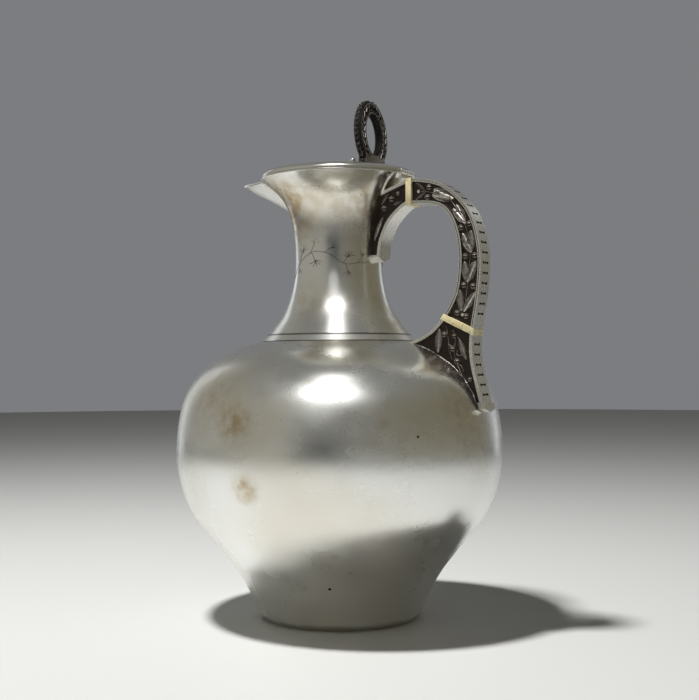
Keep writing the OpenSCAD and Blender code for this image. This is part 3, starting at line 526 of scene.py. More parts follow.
def hinge_cut(radius, half):
    """A round bar along the hinge's pin."""
    ring = [(hinge_line[0] + radius * math.cos(a), hinge_line[2] + radius * math.sin(a))
            for a in np.linspace(0, 2 * math.pi, 32, endpoint=False)]
    return prism(ring, 1, -half, half)


beak_gap = cut_edge("neck_shell")
beak_gap = np.concatenate([beak_gap, [[beak_gap[-1][0], beak_gap[-1][1] + 3]]])
beak_cut = prism([*beak_gap, *[(-y, z) for y, z in beak_gap[::-1]]], 0, -60, -8)
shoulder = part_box("neck_shell")[0][2] / MM - COLLAR_H
turn_in = int(np.argmin(np.abs(body_line[:, 1] - shoulder)))
bulb_curve = smooth_line(every_third(body_line[:turn_in + 1]), 260)
collar_curve = np.linspace(body_line[turn_in], body_line[-1], 8)[1:]
bulb = spun_wall("bulb", np.concatenate([bulb_curve, collar_curve]), WALL, "pot", bulb_silver,
                 "body_shell")
neck = spun_wall("neck", smooth_line(every_third(neck_line), 160), WALL, "pot", neck_silver,
                 "neck_shell", [beak_cut, hinge_cut(knuckle, hinge_half)])
COVER_SHEET = 1.0
spun_wall("lid_cover", smooth_line(cover_line, 150)[:-1], COVER_SHEET, "lid",
          neck_silver, "cover", [hinge_cut(knuckle + 0.3, hinge_half + 0.3)])

# %% [markdown]
# ## Pieces kept from the model
# The straps, plates, insulators, wires and hinge have their right shape already. Each is
# copied, its loose triangles are joined and flat ones merged into one face. All but the
# straps have their edges rounded off a little, because a sharp edge never catches the light and a
# real one does.

# %% Dressing a node
EDGE_ROUND = 0.14


def dressed(node, body, finish, round_by=EDGE_ROUND, levels=2):
    """A copy of a CAD node with joined faces and rounded edges."""
    mesh = NODES[node].data.copy()
    work = bmesh.new()
    work.from_mesh(mesh)
    bmesh.ops.remove_doubles(work, verts=work.verts, dist=1e-6)
    bmesh.ops.dissolve_limit(work, angle_limit=math.radians(0.5), verts=work.verts,
                             edges=work.edges)
    work.to_mesh(mesh)
    work.free()
    mesh.attributes.new("raised", "FLOAT", "POINT")
    made = bpy.data.objects.new(node + "_dressed", mesh)
    bpy.context.scene.collection.objects.link(made)
    if round_by:
        bevel = made.modifiers.new("rounding", "BEVEL")
        bevel.width = round_by * MM
        bevel.segments = levels
        bevel.limit_method = "ANGLE"
        bevel.angle_limit = math.radians(40)
        bevel.harden_normals = False
    shape = bpy.data.meshes.new_from_object(
        made.evaluated_get(bpy.context.evaluated_depsgraph_get()))
    bpy.data.objects.remove(made)
    values = raised_of(node, shape)
    shape.attributes["raised"].data.foreach_set("value", values)
    result = finished(node + "_dressed", shape, body, finish)
    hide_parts(node)
    return result


CREST_FROM, FIELD_FROM = 0.92, 0.6
CREST_TONE, FIELD_TONE, EDGE_TONE = 0.6, 0.0, 0.12


def raised_of(node, mesh):
    """How bright a point is rubbed: the wreath's sunk field stays dark, its borders don't."""
    points = np.empty(len(mesh.vertices) * 3)
    mesh.vertices.foreach_get("co", points)
    points = points.reshape(-1, 3) / MM
    if node != "wreath":
        return np.ones(len(points))
    depth = points @ WREATH_FACE
    middle = (depth.max() + depth.min()) / 2
    share = np.abs(depth - middle) / (np.ptp(depth) / 2)
    return np.where(share > CREST_FROM, CREST_TONE,
                    np.where(share > FIELD_FROM, FIELD_TONE, EDGE_TONE))


def wreath_face():
    """The way that the wreath's flat field looks, from its largest faces."""
    mesh = NODES["wreath"].data
    wide = sorted((face for face in mesh.polygons if face.normal.x > 0.9),
                  key=lambda face: -face.area)[:20]
    return np.array(sum((face.normal for face in wide), Vector()).normalized())


WREATH_FACE = wreath_face()


def strap_rims(node):
    """The outline of a strap's side face: the line segments between its points."""
    points, faces, normals, centres = node_faces(node)
    side = [k for k in range(len(faces)) if normals[k][1] > 0.99]
    level = max(centres[k][1] for k in side)
    edges = {}
    for k in side:
        if centres[k][1] < level - 0.05:
            continue
        corners = [tuple(points[v][[0, 2]].round(3)) for v in faces[k]]
        for a, b in zip(corners, corners[1:] + corners[:1]):
            key = tuple(sorted((a, b)))
            edges[key] = edges.get(key, 0) + 1
    return np.array([key for key, count in edges.items() if count == 1])


def rim_frame(rim):
    """A smooth outward direction at both ends of each line segment of a strap's outline."""
    a, b = rim[:, 0], rim[:, 1]
    along = (b - a) / np.linalg.norm(b - a, axis=1)[:, None]
    facing = np.stack([along[:, 1], -along[:, 0]], axis=1)
    ends = np.empty((len(rim), 2, 2))
    for k in range(len(rim)):
        for end in (0, 1):
            meets = np.where((np.abs(rim - rim[k, end]).sum(2) < 0.01).any(1))[0]
            near = [facing[m] * np.sign(facing[m] @ facing[k]) for m in meets
                    if abs(facing[m] @ facing[k]) > 0.85]
            total = np.sum(near, axis=0)
            ends[k, end] = total / np.linalg.norm(total)
    return facing, ends


def rim_look(rim, facing, ends, p, way):
    """The distance from p to the outline, and the smooth direction there that suits way."""
    a, b = rim[:, 0], rim[:, 1]
    along = b - a
    t = np.clip(((p - a) * along).sum(1) / np.maximum((along ** 2).sum(1), 1e-9), 0, 1)
    gap = np.linalg.norm(a + t[:, None] * along - p, axis=1)
    apart = gap + 5 * (np.abs(facing @ way) < 0.85)
    k = int(np.argmin(apart))
    look = ends[k, 0] * (1 - t[k]) + ends[k, 1] * t[k]
    return gap.min(), look * np.sign(look @ way) / np.linalg.norm(look)


# %% [markdown]
# ## The straps
# The straps are thick strips bent to the handle's line. On the grip a groove runs along
# each side, so that the edge shows as two bright lines. The outer strap is cut across with
# ticks: two drilled pits with a slot between them, black inside. A cut in a curved strip
# spoils its smooth shading, so each face corner gets its direction from the outline.

# %% Straps
GROOVE_FROM_EDGE = 0.45
GROOVE_SLOPE = 0.12
GROOVE_DEPTH = 0.3
GROOVE_TONE = 0.1
TICK_DEPTH = 0.1
TICKS_WITHIN = 3.2
PLAIN_FOOT = 3


def strap(node):
    """A strap with side grooves on the grip, dark ticks and smooth shading."""
    rim = strap_rims(node)
    rim = rim[np.linalg.norm(rim[:, 1] - rim[:, 0], axis=1) > 1e-3]
    facing, ends = rim_frame(rim)
    mesh = NODES[node].data.copy()
    work = bmesh.new()
    work.from_mesh(mesh)
    bmesh.ops.remove_doubles(work, verts=work.verts, dist=1e-6)
    bmesh.ops.dissolve_limit(work, angle_limit=math.radians(0.5), verts=work.verts,
                             edges=work.edges)
    flat = [face for face in work.faces if abs(face.normal.y) > 0.99
            and abs(face.calc_center_median().y) > 0.9 * max(abs(v.co.y) for v in work.verts)]
    slopes = set()
    if node.startswith("grip"):
        bmesh.ops.inset_region(work, faces=flat, thickness=GROOVE_FROM_EDGE * MM, depth=0)
        sunk = bmesh.ops.inset_region(work, faces=flat, thickness=GROOVE_SLOPE * MM,
                                      depth=-GROOVE_DEPTH * MM)
        work.faces.index_update()
        slopes = {face.index for face in sunk["faces"]}
    work.to_mesh(mesh)
    work.free()
    made = finished(node + "_dressed", mesh, "pot", strap_silver, 60)
    tone, looks = [], []
    for face in mesh.polygons:
        centre, way = np.array(face.center) / MM, np.array(face.normal)
        across = way[[0, 2]]
        surface = abs(way[1]) < 0.1
        gap, look = rim_look(rim, facing, ends, centre[[0, 2]], across)
        foot = centre[2] < rim[..., 1].min() + PLAIN_FOOT
        cut = gap > TICK_DEPTH and (surface or abs(centre[1]) < TICKS_WITHIN) and not foot
        tone.append(0.0 if cut else 1.0)
        for corner in face.loop_indices:
            if surface and not cut and face.area > 1e-9:
                p = np.array(mesh.vertices[mesh.loops[corner].vertex_index].co)[[0, 2]] / MM
                look = rim_look(rim, facing, ends, p, across)[1]
                looks.append((look[0], 0, look[1]))
            else:
                looks.append(tuple(way))
    tone = np.array(tone)
    tone[[face.index for face in mesh.polygons if face.index in slopes]] = GROOVE_TONE
    mesh.attributes.new("raised", "FLOAT", "FACE").data.foreach_set("value", tone)
    assert np.isfinite(looks).all(), node
    mesh.normals_split_custom_set(looks)
    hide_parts(node)
    print(made.name, len(mesh.polygons), "dark faces:", int((tone < 0.5).sum()))


handle = {
    ground_silver: ["upper_socket_plates", "grip_plates", "lower_socket_plates"],
    ivory: ["upper_insulator", "lower_insulator"],
    wire_silver: ["beak", "beak_wire", "mouth_wire", "hinge_base", "upper_tenon_pin",
                  "lower_tenon_pin"],
}
for finish, names in handle.items():
    for name in names:
        made = dressed(name, "pot", finish, round_by=0.5 if finish is ivory else EDGE_ROUND)
        print(made.name, len(made.data.polygons))
for part in ("upper_socket", "grip", "lower_socket"):
    strap(part + "_outer_strap")
    strap(part + "_inner_strap")
for name in ("wreath", "wreath_scroll", "hinge_cover_leaf"):
    dressed(name, "lid", wreath_silver if name == "wreath" else wire_silver)

# %% Nodes that hardly show
for name, node in NODES.items():
    if not node.hide_render:
        node.data.materials.clear()
        plain = relief_silver if "ornament" in name else wire_silver
        node.data.materials.append((ivory if "tenon" in name and "pin" not in name
                                    else plain).material)

# %% [markdown]
# ## Leaves and berries in relief
# The handle's sides carry a laurel spray: pairs of pointed leaves that open in a V, and
# berries with a ring round them. They are one leaf and one berry, cast many times. There
# is a plain solid for each, which gives its place, turn and size. One
# Geometry Nodes tree bends a small grid into the leaf, a second winds one into the berry,
# and each is set on a cloud of points, so a change of shape reaches all of them at once.

# %% Places of the plain solids
def islands(node):
    """The separate solids of a CAD node, each as its corner points in millimetres."""
    work = bmesh.new()
    work.from_mesh(NODES[node].data)
    bmesh.ops.remove_doubles(work, verts=work.verts, dist=1e-7)
    left, found = set(work.verts), []
    while left:
        group, edge = set(), [left.pop()]
        while edge:
            vert = edge.pop()
            group.add(vert)
            for link in vert.link_edges:
                other = link.other_vert(vert)
                if other in left:
                    left.discard(other)
                    edge.append(other)
        found.append(np.array([vert.co[:] for vert in group]) / MM)
    work.free()
    return found


PAIR_WIDTH = 0.4
BERRY_REACH = 3.4


def places_on(node, outwards):
    """Where each leaf or berry stands: middle, direction, face normal, length, width, height."""
    found = []
    for points in islands(node):
        normal = outwards((points.min(0) + points.max(0)) / 2)
        base = normal * np.min(points @ normal)
        height = np.ptp(points @ normal)
        flat = points - np.outer(points @ normal, normal)
        _, turns = np.linalg.eigh((flat - flat.mean(0)).T @ (flat - flat.mean(0)))
        along = turns[:, 2]
        across = np.cross(normal, along)
        u, v = flat @ along, flat @ across
        if np.ptp(u) > BERRY_REACH and np.ptp(v) > 0.52 * np.ptp(u):
            found += open_pair(flat, along, across, normal, base, height)
            continue
        middle = along * (u.max() + u.min()) / 2 + across * (v.max() + v.min()) / 2
        found.append((middle + base, along, normal, np.ptp(u), np.ptp(v), height))
    return found


def open_pair(flat, along, across, normal, base, height):
    """Two leaves that grow out of one point, from the solid that holds them both."""
    u, v = flat @ along, flat @ across
    near, far = u < np.quantile(u, 0.25), u > np.quantile(u, 0.75)
    if np.ptp(v[near]) > np.ptp(v[far]):
        along, u = -along, -u
    start = flat[np.argmin(u)]
    leaves = []
    for side in (-1, 1):
        way = flat[np.argmax(0.8 * u + 0.6 * side * v)] - start
        length = np.linalg.norm(way)
        leaves.append((start + way / 2 + base, way / length, normal, length, PAIR_WIDTH * length,
                       height))
    return leaves


# %% Geometry Nodes tools
class Tree(Nodes):
    """A Geometry Nodes tree with named inputs."""

    def __init__(self, name, **sizes):
        self.tree = bpy.data.node_groups.new(name, "GeometryNodeTree")
        self.tree.interface.new_socket("Geometry", in_out="INPUT",
                                       socket_type="NodeSocketGeometry")
        self.tree.interface.new_socket("Geometry", in_out="OUTPUT",
                                       socket_type="NodeSocketGeometry")
        for key, value in sizes.items():
            kind = "NodeSocketInt" if isinstance(value, int) else "NodeSocketFloat"
            made = self.tree.interface.new_socket(key.replace("_", " ").title(),
                                                  in_out="INPUT", socket_type=kind)
            made.default_value = value
        self.tree.interface.new_socket("Finish", in_out="INPUT",
                                       socket_type="NodeSocketMaterial")
        self.entry = self.tree.nodes.new("NodeGroupInput")

    def input(self, name):
        return Tone(self, self.entry.outputs[name])

    def split(self, vector):
        made = self.node("ShaderNodeSeparateXYZ", None, {0: vector})
        return made, *(Tone(self, made.socket.node.outputs[k]) for k in (1, 2))

    def join(self, x, y, z):
        return self.node("ShaderNodeCombineXYZ", None, {0: x, 1: y, 2: z})

    def close(self, geometry):
        """Realize Instances and Set Material end every tree."""
        real = self.node("GeometryNodeRealizeInstances", None, {0: geometry})
        real = self.node("GeometryNodeSetMaterial", None,
                         {"Geometry": real, "Material": self.input("Finish")})
        self.feed(self.tree.nodes.new("NodeGroupOutput").inputs[0], real)


def grown(tree, name, mesh, body, finish, slot, **sizes):
    """Runs a tree on a mesh and keeps the result as one plain mesh."""
    holder = bpy.data.objects.new(name, mesh)
    bpy.context.scene.collection.objects.link(holder)
    modifier = holder.modifiers.new("grow", "NODES")
    modifier.node_group = tree.tree
    wanted = {key.replace("_", " ").title(): value for key, value in sizes.items()}
    wanted["Finish"] = finish.material
    for item in tree.tree.interface.items_tree:
        if item.in_out == "INPUT" and item.name in wanted:
            modifier[item.identifier] = wanted[item.name]
    result = bpy.data.meshes.new_from_object(
        holder.evaluated_get(bpy.context.evaluated_depsgraph_get()))
    bpy.data.objects.remove(holder)
    made = finished(name, result, body, finish, smooth_angle=60)
    print(name, "faces:", len(made.data.polygons))
    return made


def point_cloud(name, rows):
    """A mesh of loose points that carry a direction, a normal and a size."""
    mesh = bpy.data.meshes.new(name)
    mesh.from_pydata([Vector(row[0]) * MM for row in rows], [], [])
    for key, values in (("along", [row[1] for row in rows]), ("facing", [row[2] for row in rows]),
                        ("size", [np.array(row[3:6]) * MM for row in rows])):
        made = mesh.attributes.new(key, "FLOAT_VECTOR", "POINT")
        made.data.foreach_set("vector", np.array(values, dtype=float).ravel())
    return mesh


def set_on_points(tree, shape):
    """Stands the shape, one metre in size, on every point of the cloud."""
    def stored(name):
        return tree.node("GeometryNodeInputNamedAttribute", {"data_type": "FLOAT_VECTOR"},
                         {"Name": name})
    turn = tree.node("FunctionNodeAxesToRotation", {"primary_axis": "Z", "secondary_axis": "X"},
                     {0: stored("facing"), 1: stored("along")})
    tree.close(tree.node("GeometryNodeInstanceOnPoints", None,
                         {"Points": tree.input("Geometry"), "Instance": shape,
                          "Rotation": turn, "Scale": stored("size")}))


def marked(tree, shape, value):
    """Keeps a value with the shape for the finish to read."""
    return tree.node("GeometryNodeStoreNamedAttribute", {"data_type": "FLOAT"},
                     {"Geometry": shape, "Name": "raised", "Value": value})


# %% The leaf
def leaf_tree():
    """A pointed leaf: a raised rim and midrib round two hollows, with slanting veins."""
    tree = Tree("leaf", rim=0.85, hollow=0.5, veins=4.0)
    grid = tree.node("GeometryNodeMeshGrid", None, {"Size X": 1.0, "Size Y": 2.0,
                                                    "Vertices X": 15, "Vertices Y": 13})
    x, y, z = tree.split(tree.node("GeometryNodeInputPosition"))
    u = x + 0.5
    edge = y.size() ** 0.8
    half = ((u * (1 - u)).most(0) * 4) ** 0.75 * 0.5 * (y.size() + 0.001) ** -0.2
    rim = edge.ease(0.55, tree.input("Rim"))
    midrib = 1 - edge.ease(0.06, 0.24)
    vein = ((u + edge * -0.18) * tree.input("Veins") * 2 * math.pi).sine() * 0.06
    crest = rim.most(midrib)
    ends = (u * (1 - u) * 9).least(1)
    height = (1 - (tree.input("Hollow") - vein) * (1 - crest) * ends) * (0.4 + 0.6 * ends)
    height = height * (1 - edge.ease(0.93, 1.0)) - 0.12 * edge.ease(0.93, 1.0)
    shape = tree.node("GeometryNodeSetPosition", None,
                      {"Geometry": grid, "Position": tree.join(x, y * half, height)})
    set_on_points(tree, marked(tree, shape, crest * 0.55 + 0.38 - edge.ease(0.93, 1.0)))
    return tree


def berry_tree():
    """A round berry: a dome in a dark groove, with a ring round it."""
    tree = Tree("berry", dome=0.56, ring=0.7)
    grid = tree.node("GeometryNodeMeshGrid", None, {"Size X": 1.0, "Size Y": 1.0,
                                                    "Vertices X": 17, "Vertices Y": 10})
    x, y, z = tree.split(tree.node("GeometryNodeInputPosition"))
    turn = (x + 0.5) * 2 * math.pi
    out = y + 0.5
    dome = (1 - (out / tree.input("Dome")) ** 2).most(0) ** 0.5
    ring = (1 - ((out - 0.83) / 0.15) ** 2).most(0) ** 0.5 * tree.input("Ring")
    height = dome.most(ring) - 0.12 * out.ease(0.97, 1.0)
    shape = tree.node("GeometryNodeSetPosition", None,
                      {"Geometry": grid, "Position": tree.join(turn.cosine() * out * 0.5,
                                                               turn.sine() * out * 0.5, height)})
    set_on_points(tree, marked(tree, shape, height.ease(0.1, 0.75)))
    return tree


leaf_shape, berry_shape = leaf_tree(), berry_tree()


def sculpted(node, body, outwards, finish, wider=1.0):
    """Replaces a node of plain leaves and berries with shaped ones in the same places."""
    leaves, berries = [], []
    for middle, along, normal, length, width, height in places_on(node, outwards):
        if length < BERRY_REACH:
            berries.append((middle, along, normal, length * 1.15, width * 1.15, height))
        else:
            leaves.append((middle, along, normal, length * 1.04, width * wider, height))
    made = []
    for tree, rows, word in ((leaf_shape, leaves, "leaves"), (berry_shape, berries, "berries")):
        if rows:
            made.append(grown(tree, node + "_" + word, point_cloud(word, rows), body, finish,
                              "oxidised_silver"))
    for shape in made:
        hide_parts(node)
    return made


def sideways(middle):
    """The handle's ornaments stand on its two flat sides."""
    return np.array([0, math.copysign(1, middle[1]), 0])


for node in ("grip_ornament", "upper_socket_ornament", "lower_socket_ornament"):
    sculpted(node, "pot", sideways, relief_silver, wider=1.15)

# %% [markdown]
# ## The engraved twig
# A twig with small leaves and buds is cut into the neck, halfway up, with a graver: each
# stroke starts and ends in a point, and old polish has left it dark. The strokes are drawn
# on the turned surface as points across the neck, and one Geometry Nodes tree runs
# a fine bead along every stroke, sunk in the silver so that only its back shows.

# %% Strokes on the neck
def fan(x, z, angles, length):
    """Short strokes that spread from one point, such as the leaves at a twig's end."""
    return [[(x, z), (x + 0.5 * length * math.cos(a) - 0.2 * math.sin(a),
                      z + 0.5 * length * math.sin(a) + 0.2 * math.cos(a)),
             (x + length * math.cos(a), z + length * math.sin(a))]
            for a in map(math.radians, angles)]


TWIG = [[(-19.5, 151), (-18, 156), (-14.8, 160), (-11, 162), (-6.5, 161.6), (-3, 160.2),
         (0.5, 157.5), (4.5, 156.3), (8, 157), (11.5, 157.2), (14, 159)]]
SIDE_STEMS = [[(-13, 161), (-11.5, 163.5), (-10.5, 166.5)],
              [(-12, 161.8), (-10.8, 159), (-10, 156.5)],
              [(2, 156.8), (3.4, 159), (5.2, 161)], [(3, 156.4), (3.6, 154), (4.4, 151.8)],
              [(-17, 158.5), (-16.2, 161.5), (-15, 164)], [(-6, 161.5), (-4.4, 163), (-2, 163.6)],
              [(8, 157), (9.4, 158.6), (10.6, 160.6)]]
LEAVES = (fan(-10.2, 158.2, (-150, -115, -80, -45, -15), 2.9)
          + fan(4.2, 159.4, (15, 50, 85, 120, 155), 2.7) + fan(3.9, 153.4, (-140, -95, -55), 2.4)
          + fan(-15.8, 162, (40, 80, 125), 2.2) + fan(10.2, 160, (30, 70, 115), 2.0)
          + fan(-3, 163.2, (10, 60), 2.0) + fan(-17.6, 155, (-60, -100), 2.2))
BUDS = [[(x, z), (x + 0.25, z + 0.1), (x + 0.5, z)] for x, z in
        ((-11.6, 166.4), (-10.2, 167.4), (-9, 166), (3.6, 151.2), (5, 150.6), (4.6, 152.6),
         (-14.6, 164.6), (-15.8, 165))]


def stroke_tree():
    """A bead along each line of points, as thick as the points say."""
    tree = Tree("stroke", thickness=0.11 * MM)
    line = tree.node("GeometryNodeMeshToCurve", None, {"Mesh": tree.input("Geometry")})
    width = tree.node("GeometryNodeInputNamedAttribute", {"data_type": "FLOAT"},
                      {"Name": "width"})
    line = tree.node("GeometryNodeSetCurveRadius", None, {"Curve": line, "Radius": width})
    ring = tree.node("GeometryNodeCurvePrimitiveCircle", None,
                     {"Resolution": 6, "Radius": tree.input("Thickness")})
    tube = tree.node("GeometryNodeCurveToMesh", None,
                     {"Curve": line, "Profile Curve": ring, "Fill Caps": True})
    tree.close(marked(tree, tube, 0.85))
    return tree


def chains(groups, place):
    """Strokes as chains of points with a width at each: groups of (strokes, width, steps)."""
    points, edges, widths = [], [], []
    for strokes, width, steps in groups:
        for stroke in strokes:
            first = len(points)
            for k, (x, z) in enumerate(smooth_line(stroke, steps)):
                points.append(place(x, z))
                widths.append(width * (0.25 + 0.75 * math.sin(math.pi * k / steps) ** 0.8))
                if k:
                    edges.append((first + k - 1, first + k))
    mesh = bpy.data.meshes.new("strokes")
    mesh.from_pydata([p * MM for p in points], edges, [])
    mesh.attributes.new("width", "FLOAT", "POINT").data.foreach_set("value", widths)
    return mesh


graven = Finish("graven_line")
graven.set(base_color=graven.mix(graven.cloud(1.2), (0.012, 0.01, 0.008), (0.06, 0.05, 0.038)),
           roughness=0.45, metallic=0.3)
bead = stroke_tree()
TWIG_PARTS = ((TWIG, 1.5, 60), (SIDE_STEMS, 1.3, 10), (LEAVES, 3.2, 8), (BUDS, 5.0, 4))
for side, back in (("front", False), ("back", True)):
    grown(bead, "twig_" + side, chains(TWIG_PARTS, lambda x, z: on_turned(neck_line, x, z, back)),
          "pot", graven, "oxidised_silver")

# %% [markdown]
# ## Seams and stems
# The same bead draws what else is thin and runs along something: the dark seam where the
# beak is soldered to the neck, the bright solder that has crept out under the lower socket,
# and the stems that join the leaves on the handle's sides.

# %% Beak seam and solder
def beside(line, y, z):
    """A point of a spun surface behind the axis, y to the side of its middle."""
    order = np.argsort(line[:, 1])
    radius = float(np.interp(z, line[order, 1], line[order, 0]))
    return Vector((math.sqrt(max(radius ** 2 - y ** 2, 0)), y, z))


def beak_side(y, z):
    spot = beside(neck_line, y, z)
    return Vector((-spot.x, spot.y, spot.z))


beak_low, beak_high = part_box("beak")[0][2] / MM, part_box("neck_shell")[1][2] / MM
root = [(0.0, beak_low + 0.3)] + [(y + 1.2, z) for y, z in beak_gap
                                  if beak_low + 1 < z < beak_high - 0.4][::3]
seam = [[(-y, z) for y, z in root[:0:-1]] + root]
grown(bead, "beak_seam", chains([(seam, 1.6, 60)], beak_side), "pot", graven,
      "oxidised_silver")

plate_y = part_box("lower_socket_plates")[1][1] / MM
solder_low, solder_high = 96.0, SEAM - 4
solder_silver = spun_silver("solder_silver", 0.18)
for side, sign in (("left", -1), ("right", 1)):
    run = [(sign * (plate_y + 0.2 + 0.25 * math.sin(2.1 * k)), z) for k, z in
           enumerate(np.linspace(solder_low, solder_high, 14))]
    grown(bead, "solder_" + side,
          chains([([run], 4.5, 70)], lambda y, z: beside(body_line, y, z)), "pot",
          solder_silver, "silver_plate")

# %% Stems on the handle's sides
SCROLLS = [[(61, 124), (63, 121.6), (63.6, 118.4), (62.2, 116.2), (60.6, 117), (61, 118.6)],
           [(55.6, 129), (56.6, 124), (57, 119), (58.4, 114.6)],
           [(58.8, 127), (60, 123), (59.4, 119), (60.6, 113.4), (63.4, 107), (65.6, 101)],
           [(57, 121), (58.6, 119.8), (59.4, 117.8)], [(60.8, 112.6), (62.6, 112), (63.6, 109.6)]]
for side, sign in (("left", -1), ("right", 1)):
    ornaments = [np.array(row[0]) for row in places_on("grip_ornament", sideways)
                 if row[0][1] * sign > 0 and row[3] > BERRY_REACH]
    ornaments.sort(key=lambda p: math.atan2(p[2] - 165, p[0] - 40), reverse=True)
    face_y = sign * abs(ornaments[0][1])
    middles = [(a + b) / 2 for a, b in zip(ornaments[::2], ornaments[1::2])]
    stem = [[(p[0], p[2]) for p in middles]]
    grown(bead, "stems_" + side,
          chains([(stem, 2.6, 70), (SCROLLS, 3.4, 24)],
                 lambda x, z: Vector((x, face_y + sign * 0.1, z))), "pot", relief_silver,
          "oxidised_silver")

# %% [markdown]
# ## The wreath's relief
# Two laurel branches climb the wreath's faces from its foot and meet at the top. They are
# the handle's leaf and berry again, smaller and crowded, and so worn into black dirt that
# only their edges shine. They stand in for the wreath's plain leaves, laid out round
# the oval, whose width is read from the wreath's own box.

# %% Leaves and berries round the oval
WREATH_BAND = 6.0
WREATH_HALF_HIGH = 11.8
wreath_box = np.array(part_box("wreath")) / MM
wreath_up = np.cross(WREATH_FACE, (0, 1, 0))
wreath_up *= np.sign(wreath_up[2])
half_wide = wreath_box[1][1] - WREATH_BAND / 2
field = {}
for row in places_on("wreath_ornament",
                     lambda p: WREATH_FACE * np.sign((p - wreath_box.mean(0)) @ WREATH_FACE)):
    field[round(float(np.sign(row[2][0])))] = float(row[0] @ row[2])
oval = NODES["wreath"].data
high = max(np.array(v.co) @ wreath_up for v in oval.vertices) / MM
half_high = WREATH_HALF_HIGH
centre_up = high - WREATH_BAND / 2 - half_high


def on_oval(a, u, face):
    """A point of the wreath's field: an angle round the oval, u outside its middle line."""
    c, s = math.cos(math.radians(a)), math.sin(math.radians(a))
    out = np.array([half_high * c, half_wide * s])
    out /= np.linalg.norm(out)
    return (np.array((0, 1.0, 0)) * (half_wide * c + u * out[0])
            + wreath_up * (centre_up + half_high * s + u * out[1])
            + WREATH_FACE * face * field[face])


def lay_leaf(root, tip, out, width, height):
    """A leaf from root to tip; its width is a share of its length."""
    way = tip - root
    length = np.linalg.norm(way)
    wreath_leaves.append(((root + tip) / 2, way / length, out, length, width * length, height))


LEAF_TURNS = 10
wreath_leaves, wreath_berries = [], []
for face in (-1, 1):
    for half in (1, -1):
        for k in range(LEAF_TURNS):
            a = -62 + 152 * k / LEAF_TURNS
            for u_from, u_to, reach in ((0.2, 1.45, 17), (-0.2, -1.35, 17), (0, 0.15, 12)):
                root, tip = on_oval(a, u_from, face), on_oval(a + reach, u_to, face)
                root[1], tip[1] = root[1] * half, tip[1] * half
                lay_leaf(root, tip, WREATH_FACE * face, 0.36, 0.62)
            for u in (-1.5, 1.6):
                spot = on_oval(a + 4, u, face)
                spot[1] *= half
                wreath_berries.append((spot, (0, 0, 1), WREATH_FACE * face, 1.15, 1.15, 0.55))

# %% [markdown]
# The relief goes on over the wreath's rim. The rim isn't an exact oval, so a ray from
# outside finds the surface at each place, and the leaf lies on what the ray meets.

# %% Leaves on the wreath's rim
def on_rim(a, across):
    """The rim's surface at an angle round the oval, across its thickness: a ray finds it."""
    way = np.array((0, math.cos(math.radians(a)), 0)) + wreath_up * math.sin(math.radians(a))
    hub = wreath_up * centre_up + WREATH_FACE * (middle_depth + across)
    spot, normal, _, _ = wreath_tree.ray_cast(Vector((hub + way * 40) * MM), Vector(-way))
    return (np.array(spot) / MM, np.array(normal)) if spot else None


wreath_tree = BVHTree.FromPolygons([v.co for v in oval.vertices],
                                   [tuple(face.vertices) for face in oval.polygons])
depths = np.array([np.array(v.co) @ WREATH_FACE for v in oval.vertices]) / MM
middle_depth = (depths.max() + depths.min()) / 2
RIM_LEAVES = 15
for half in (1, -1):
    for k in range(RIM_LEAVES):
        a = -72 + 158 * k / RIM_LEAVES
        for start, stop, reach in ((0.1, 0.85, 11), (-0.1, -0.85, 11)):
            ends = [on_rim(angle if half > 0 else 180 - angle, across)
                    for angle, across in ((a, start), (a + reach, stop))]
            if None in ends:
                continue
            (root, out), (tip, _) = ends
            lay_leaf(root, tip, out, 0.4, 0.55)
        spot = on_rim(a + 5 if half > 0 else 175 - a, 0)
        if spot:
            wreath_berries.append((spot[0], (0, 0, 1), spot[1], 0.9, 0.9, 0.5))
print("wreath:", len(wreath_leaves), "leaves", len(wreath_berries), "berries")
for tree, rows, word in ((leaf_shape, wreath_leaves, "leaves"),
                         (berry_shape, wreath_berries, "berries")):
    made = grown(tree, "wreath_" + word, point_cloud(word, rows), "lid", wreath_silver,
                 "oxidised_silver")
    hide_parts("wreath_ornament")

# %% [markdown]
# ## Studio
# Polished metal shows what stands round it, so the room is part of the finish. A pale floor
# is lit from above on the left, which leaves the floor under the bulb in shade: the hollow
# flank of the pot mirrors that shade, and the belly above it the bright floor further out.
# The room is dark where the viewer stands, lighter on the left, and warm on the right. Two
# tall strips behind draw a bright line down both sides.

# %% Room
class Room(Nodes):
    """The light that comes from all round, by direction."""

    def __init__(self, name):
        self.world = bpy.data.worlds.new(name)
        self.world.use_nodes = True
        self.tree = self.world.node_tree
        self.shader = self.tree.nodes["Background"]
        self.ways = self.node("ShaderNodeTexCoord", out="Generated")

    def along(self, azimuth, elevation):
        """How far a direction points to a place round the pot: 1 is straight at it."""
        towards = around(azimuth, elevation, 1, 0)
        return self.node("ShaderNodeVectorMath", {"operation": "DOT_PRODUCT"},
                         {0: self.ways, 1: tuple(towards)}, out="Value")


def around(azimuth, elevation, distance, height=0.1):
    """A place seen from the pot: azimuth 0 is towards the viewer, positive to their right."""
    a = VIEW_TURN - math.pi / 2 + math.radians(azimuth)
    e = math.radians(elevation)
    return Vector((distance * math.cos(e) * math.cos(a), distance * math.cos(e) * math.sin(a),
                   height + distance * math.sin(e)))


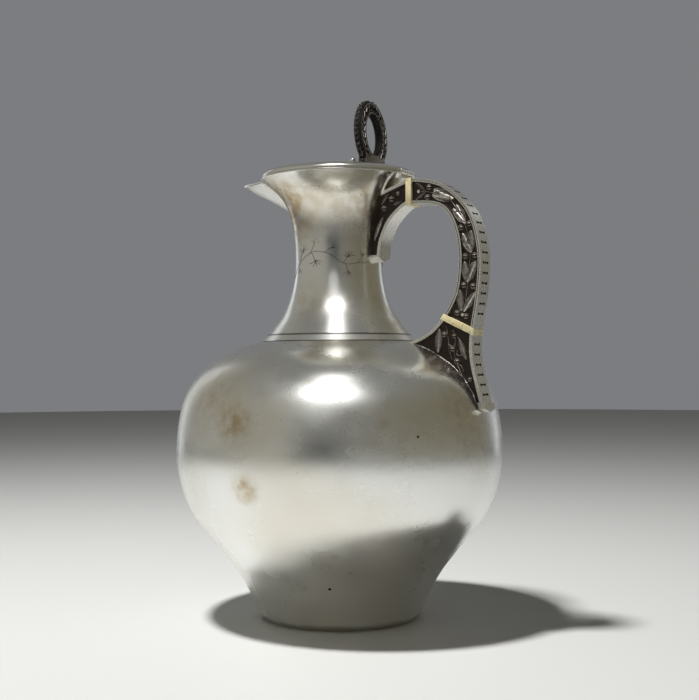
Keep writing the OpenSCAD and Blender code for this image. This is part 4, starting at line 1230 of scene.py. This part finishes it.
room = Room("room")
bpy.context.scene.world = room.world
bpy.context.scene.view_settings.view_transform = "Standard"
overhead = room.along(0, 90)
colour = room.mix(room.along(-90, 15).ease(-0.1, 0.9), (0.19, 0.185, 0.165), (0.33, 0.32, 0.28))
colour = room.mix(room.along(90, 0).ease(0.1, 0.9), colour, (0.17, 0.155, 0.11))
colour = room.mix(room.along(180, 0).ease(0.3, 0.95), colour, (0.2, 0.205, 0.215))
dark = room.along(-14, -7).ease(0.92, 0.985)
for rise in (12, 24):
    dark = dark.most(room.along(-12, rise).ease(0.92, 0.985) * 0.35)
colour = room.mix(dark, colour, (0.03, 0.034, 0.042))
colour = room.mix(overhead.ease(0.45, 0.95), colour, (0.2, 0.2, 0.19))
room.feed(room.shader.inputs["Color"], colour)
matt_ray = room.node("ShaderNodeLightPath", out="Is Diffuse Ray")
room.feed(room.shader.inputs["Strength"], 1 - 0.75 * matt_ray)

# %% Floor and lights
FLOOR_REACH = 2.5
FLOOR_SIDES = 64
floor_finish = Finish("pale_floor")
floor_finish.set(base_color=floor_finish.mix(floor_finish.cloud(300, 3), (0.70, 0.70, 0.68),
                                             (0.74, 0.74, 0.72)), roughness=0.45,
                 specular_ior_level=0.2)
floor_mesh = bpy.data.meshes.new("floor")
floor_mesh.from_pydata([(FLOOR_REACH * math.cos(a), FLOOR_REACH * math.sin(a), 0)
                        for a in np.linspace(0, 2 * math.pi, FLOOR_SIDES, endpoint=False)],
                       [], [list(range(FLOOR_SIDES))])
floor = bpy.data.objects.new("floor", floor_mesh)
bpy.context.scene.collection.objects.link(floor)
floor_mesh.materials.append(floor_finish.material)


def soft_light(name, place, width, height, glow, colour=(1, 1, 1), lights="both"):
    """An oval panel aimed at the pot. It may light only what is matt, or only show in gloss."""
    data = bpy.data.lights.new(name, "AREA")
    data.shape = "ELLIPSE"
    data.size = width
    data.size_y = height
    data.energy = glow * math.pi * math.pi * width * height / 4
    data.color = colour
    light = bpy.data.objects.new(name, data)
    light.location = place
    light.rotation_euler = (Vector((0, 0, 0.1)) - place).to_track_quat("-Z", "Y").to_euler()
    light.visible_camera = False
    light.visible_glossy = lights != "matt"
    light.visible_diffuse = lights != "gloss"
    bpy.context.scene.collection.objects.link(light)
    print(name, "power:", round(data.energy, 2))
    return light


soft_light("floor_light", around(-66, 73, 0.9), 0.1, 0.1, 470, lights="matt")
soft_light("key", around(-10, 53, 1.1), 0.5, 0.32, 6, lights="gloss")
soft_light("top", around(-10, 74, 1.1), 0.3, 0.3, 2.5, lights="gloss")
soft_light("halo", around(-12, 52, 1.2), 0.9, 0.9, 0.5, lights="gloss")
soft_light("low_halo", around(-14, 27, 1.2), 0.5, 0.4, 0.35, lights="gloss")
soft_light("left_edge", around(-142, 12, 1.0), 0.25, 1.0, 0.7, (0.93, 0.97, 1), lights="gloss")
soft_light("right_edge", around(138, 12, 1.0), 0.2, 1.0, 0.6, (0.93, 0.97, 1), lights="gloss")
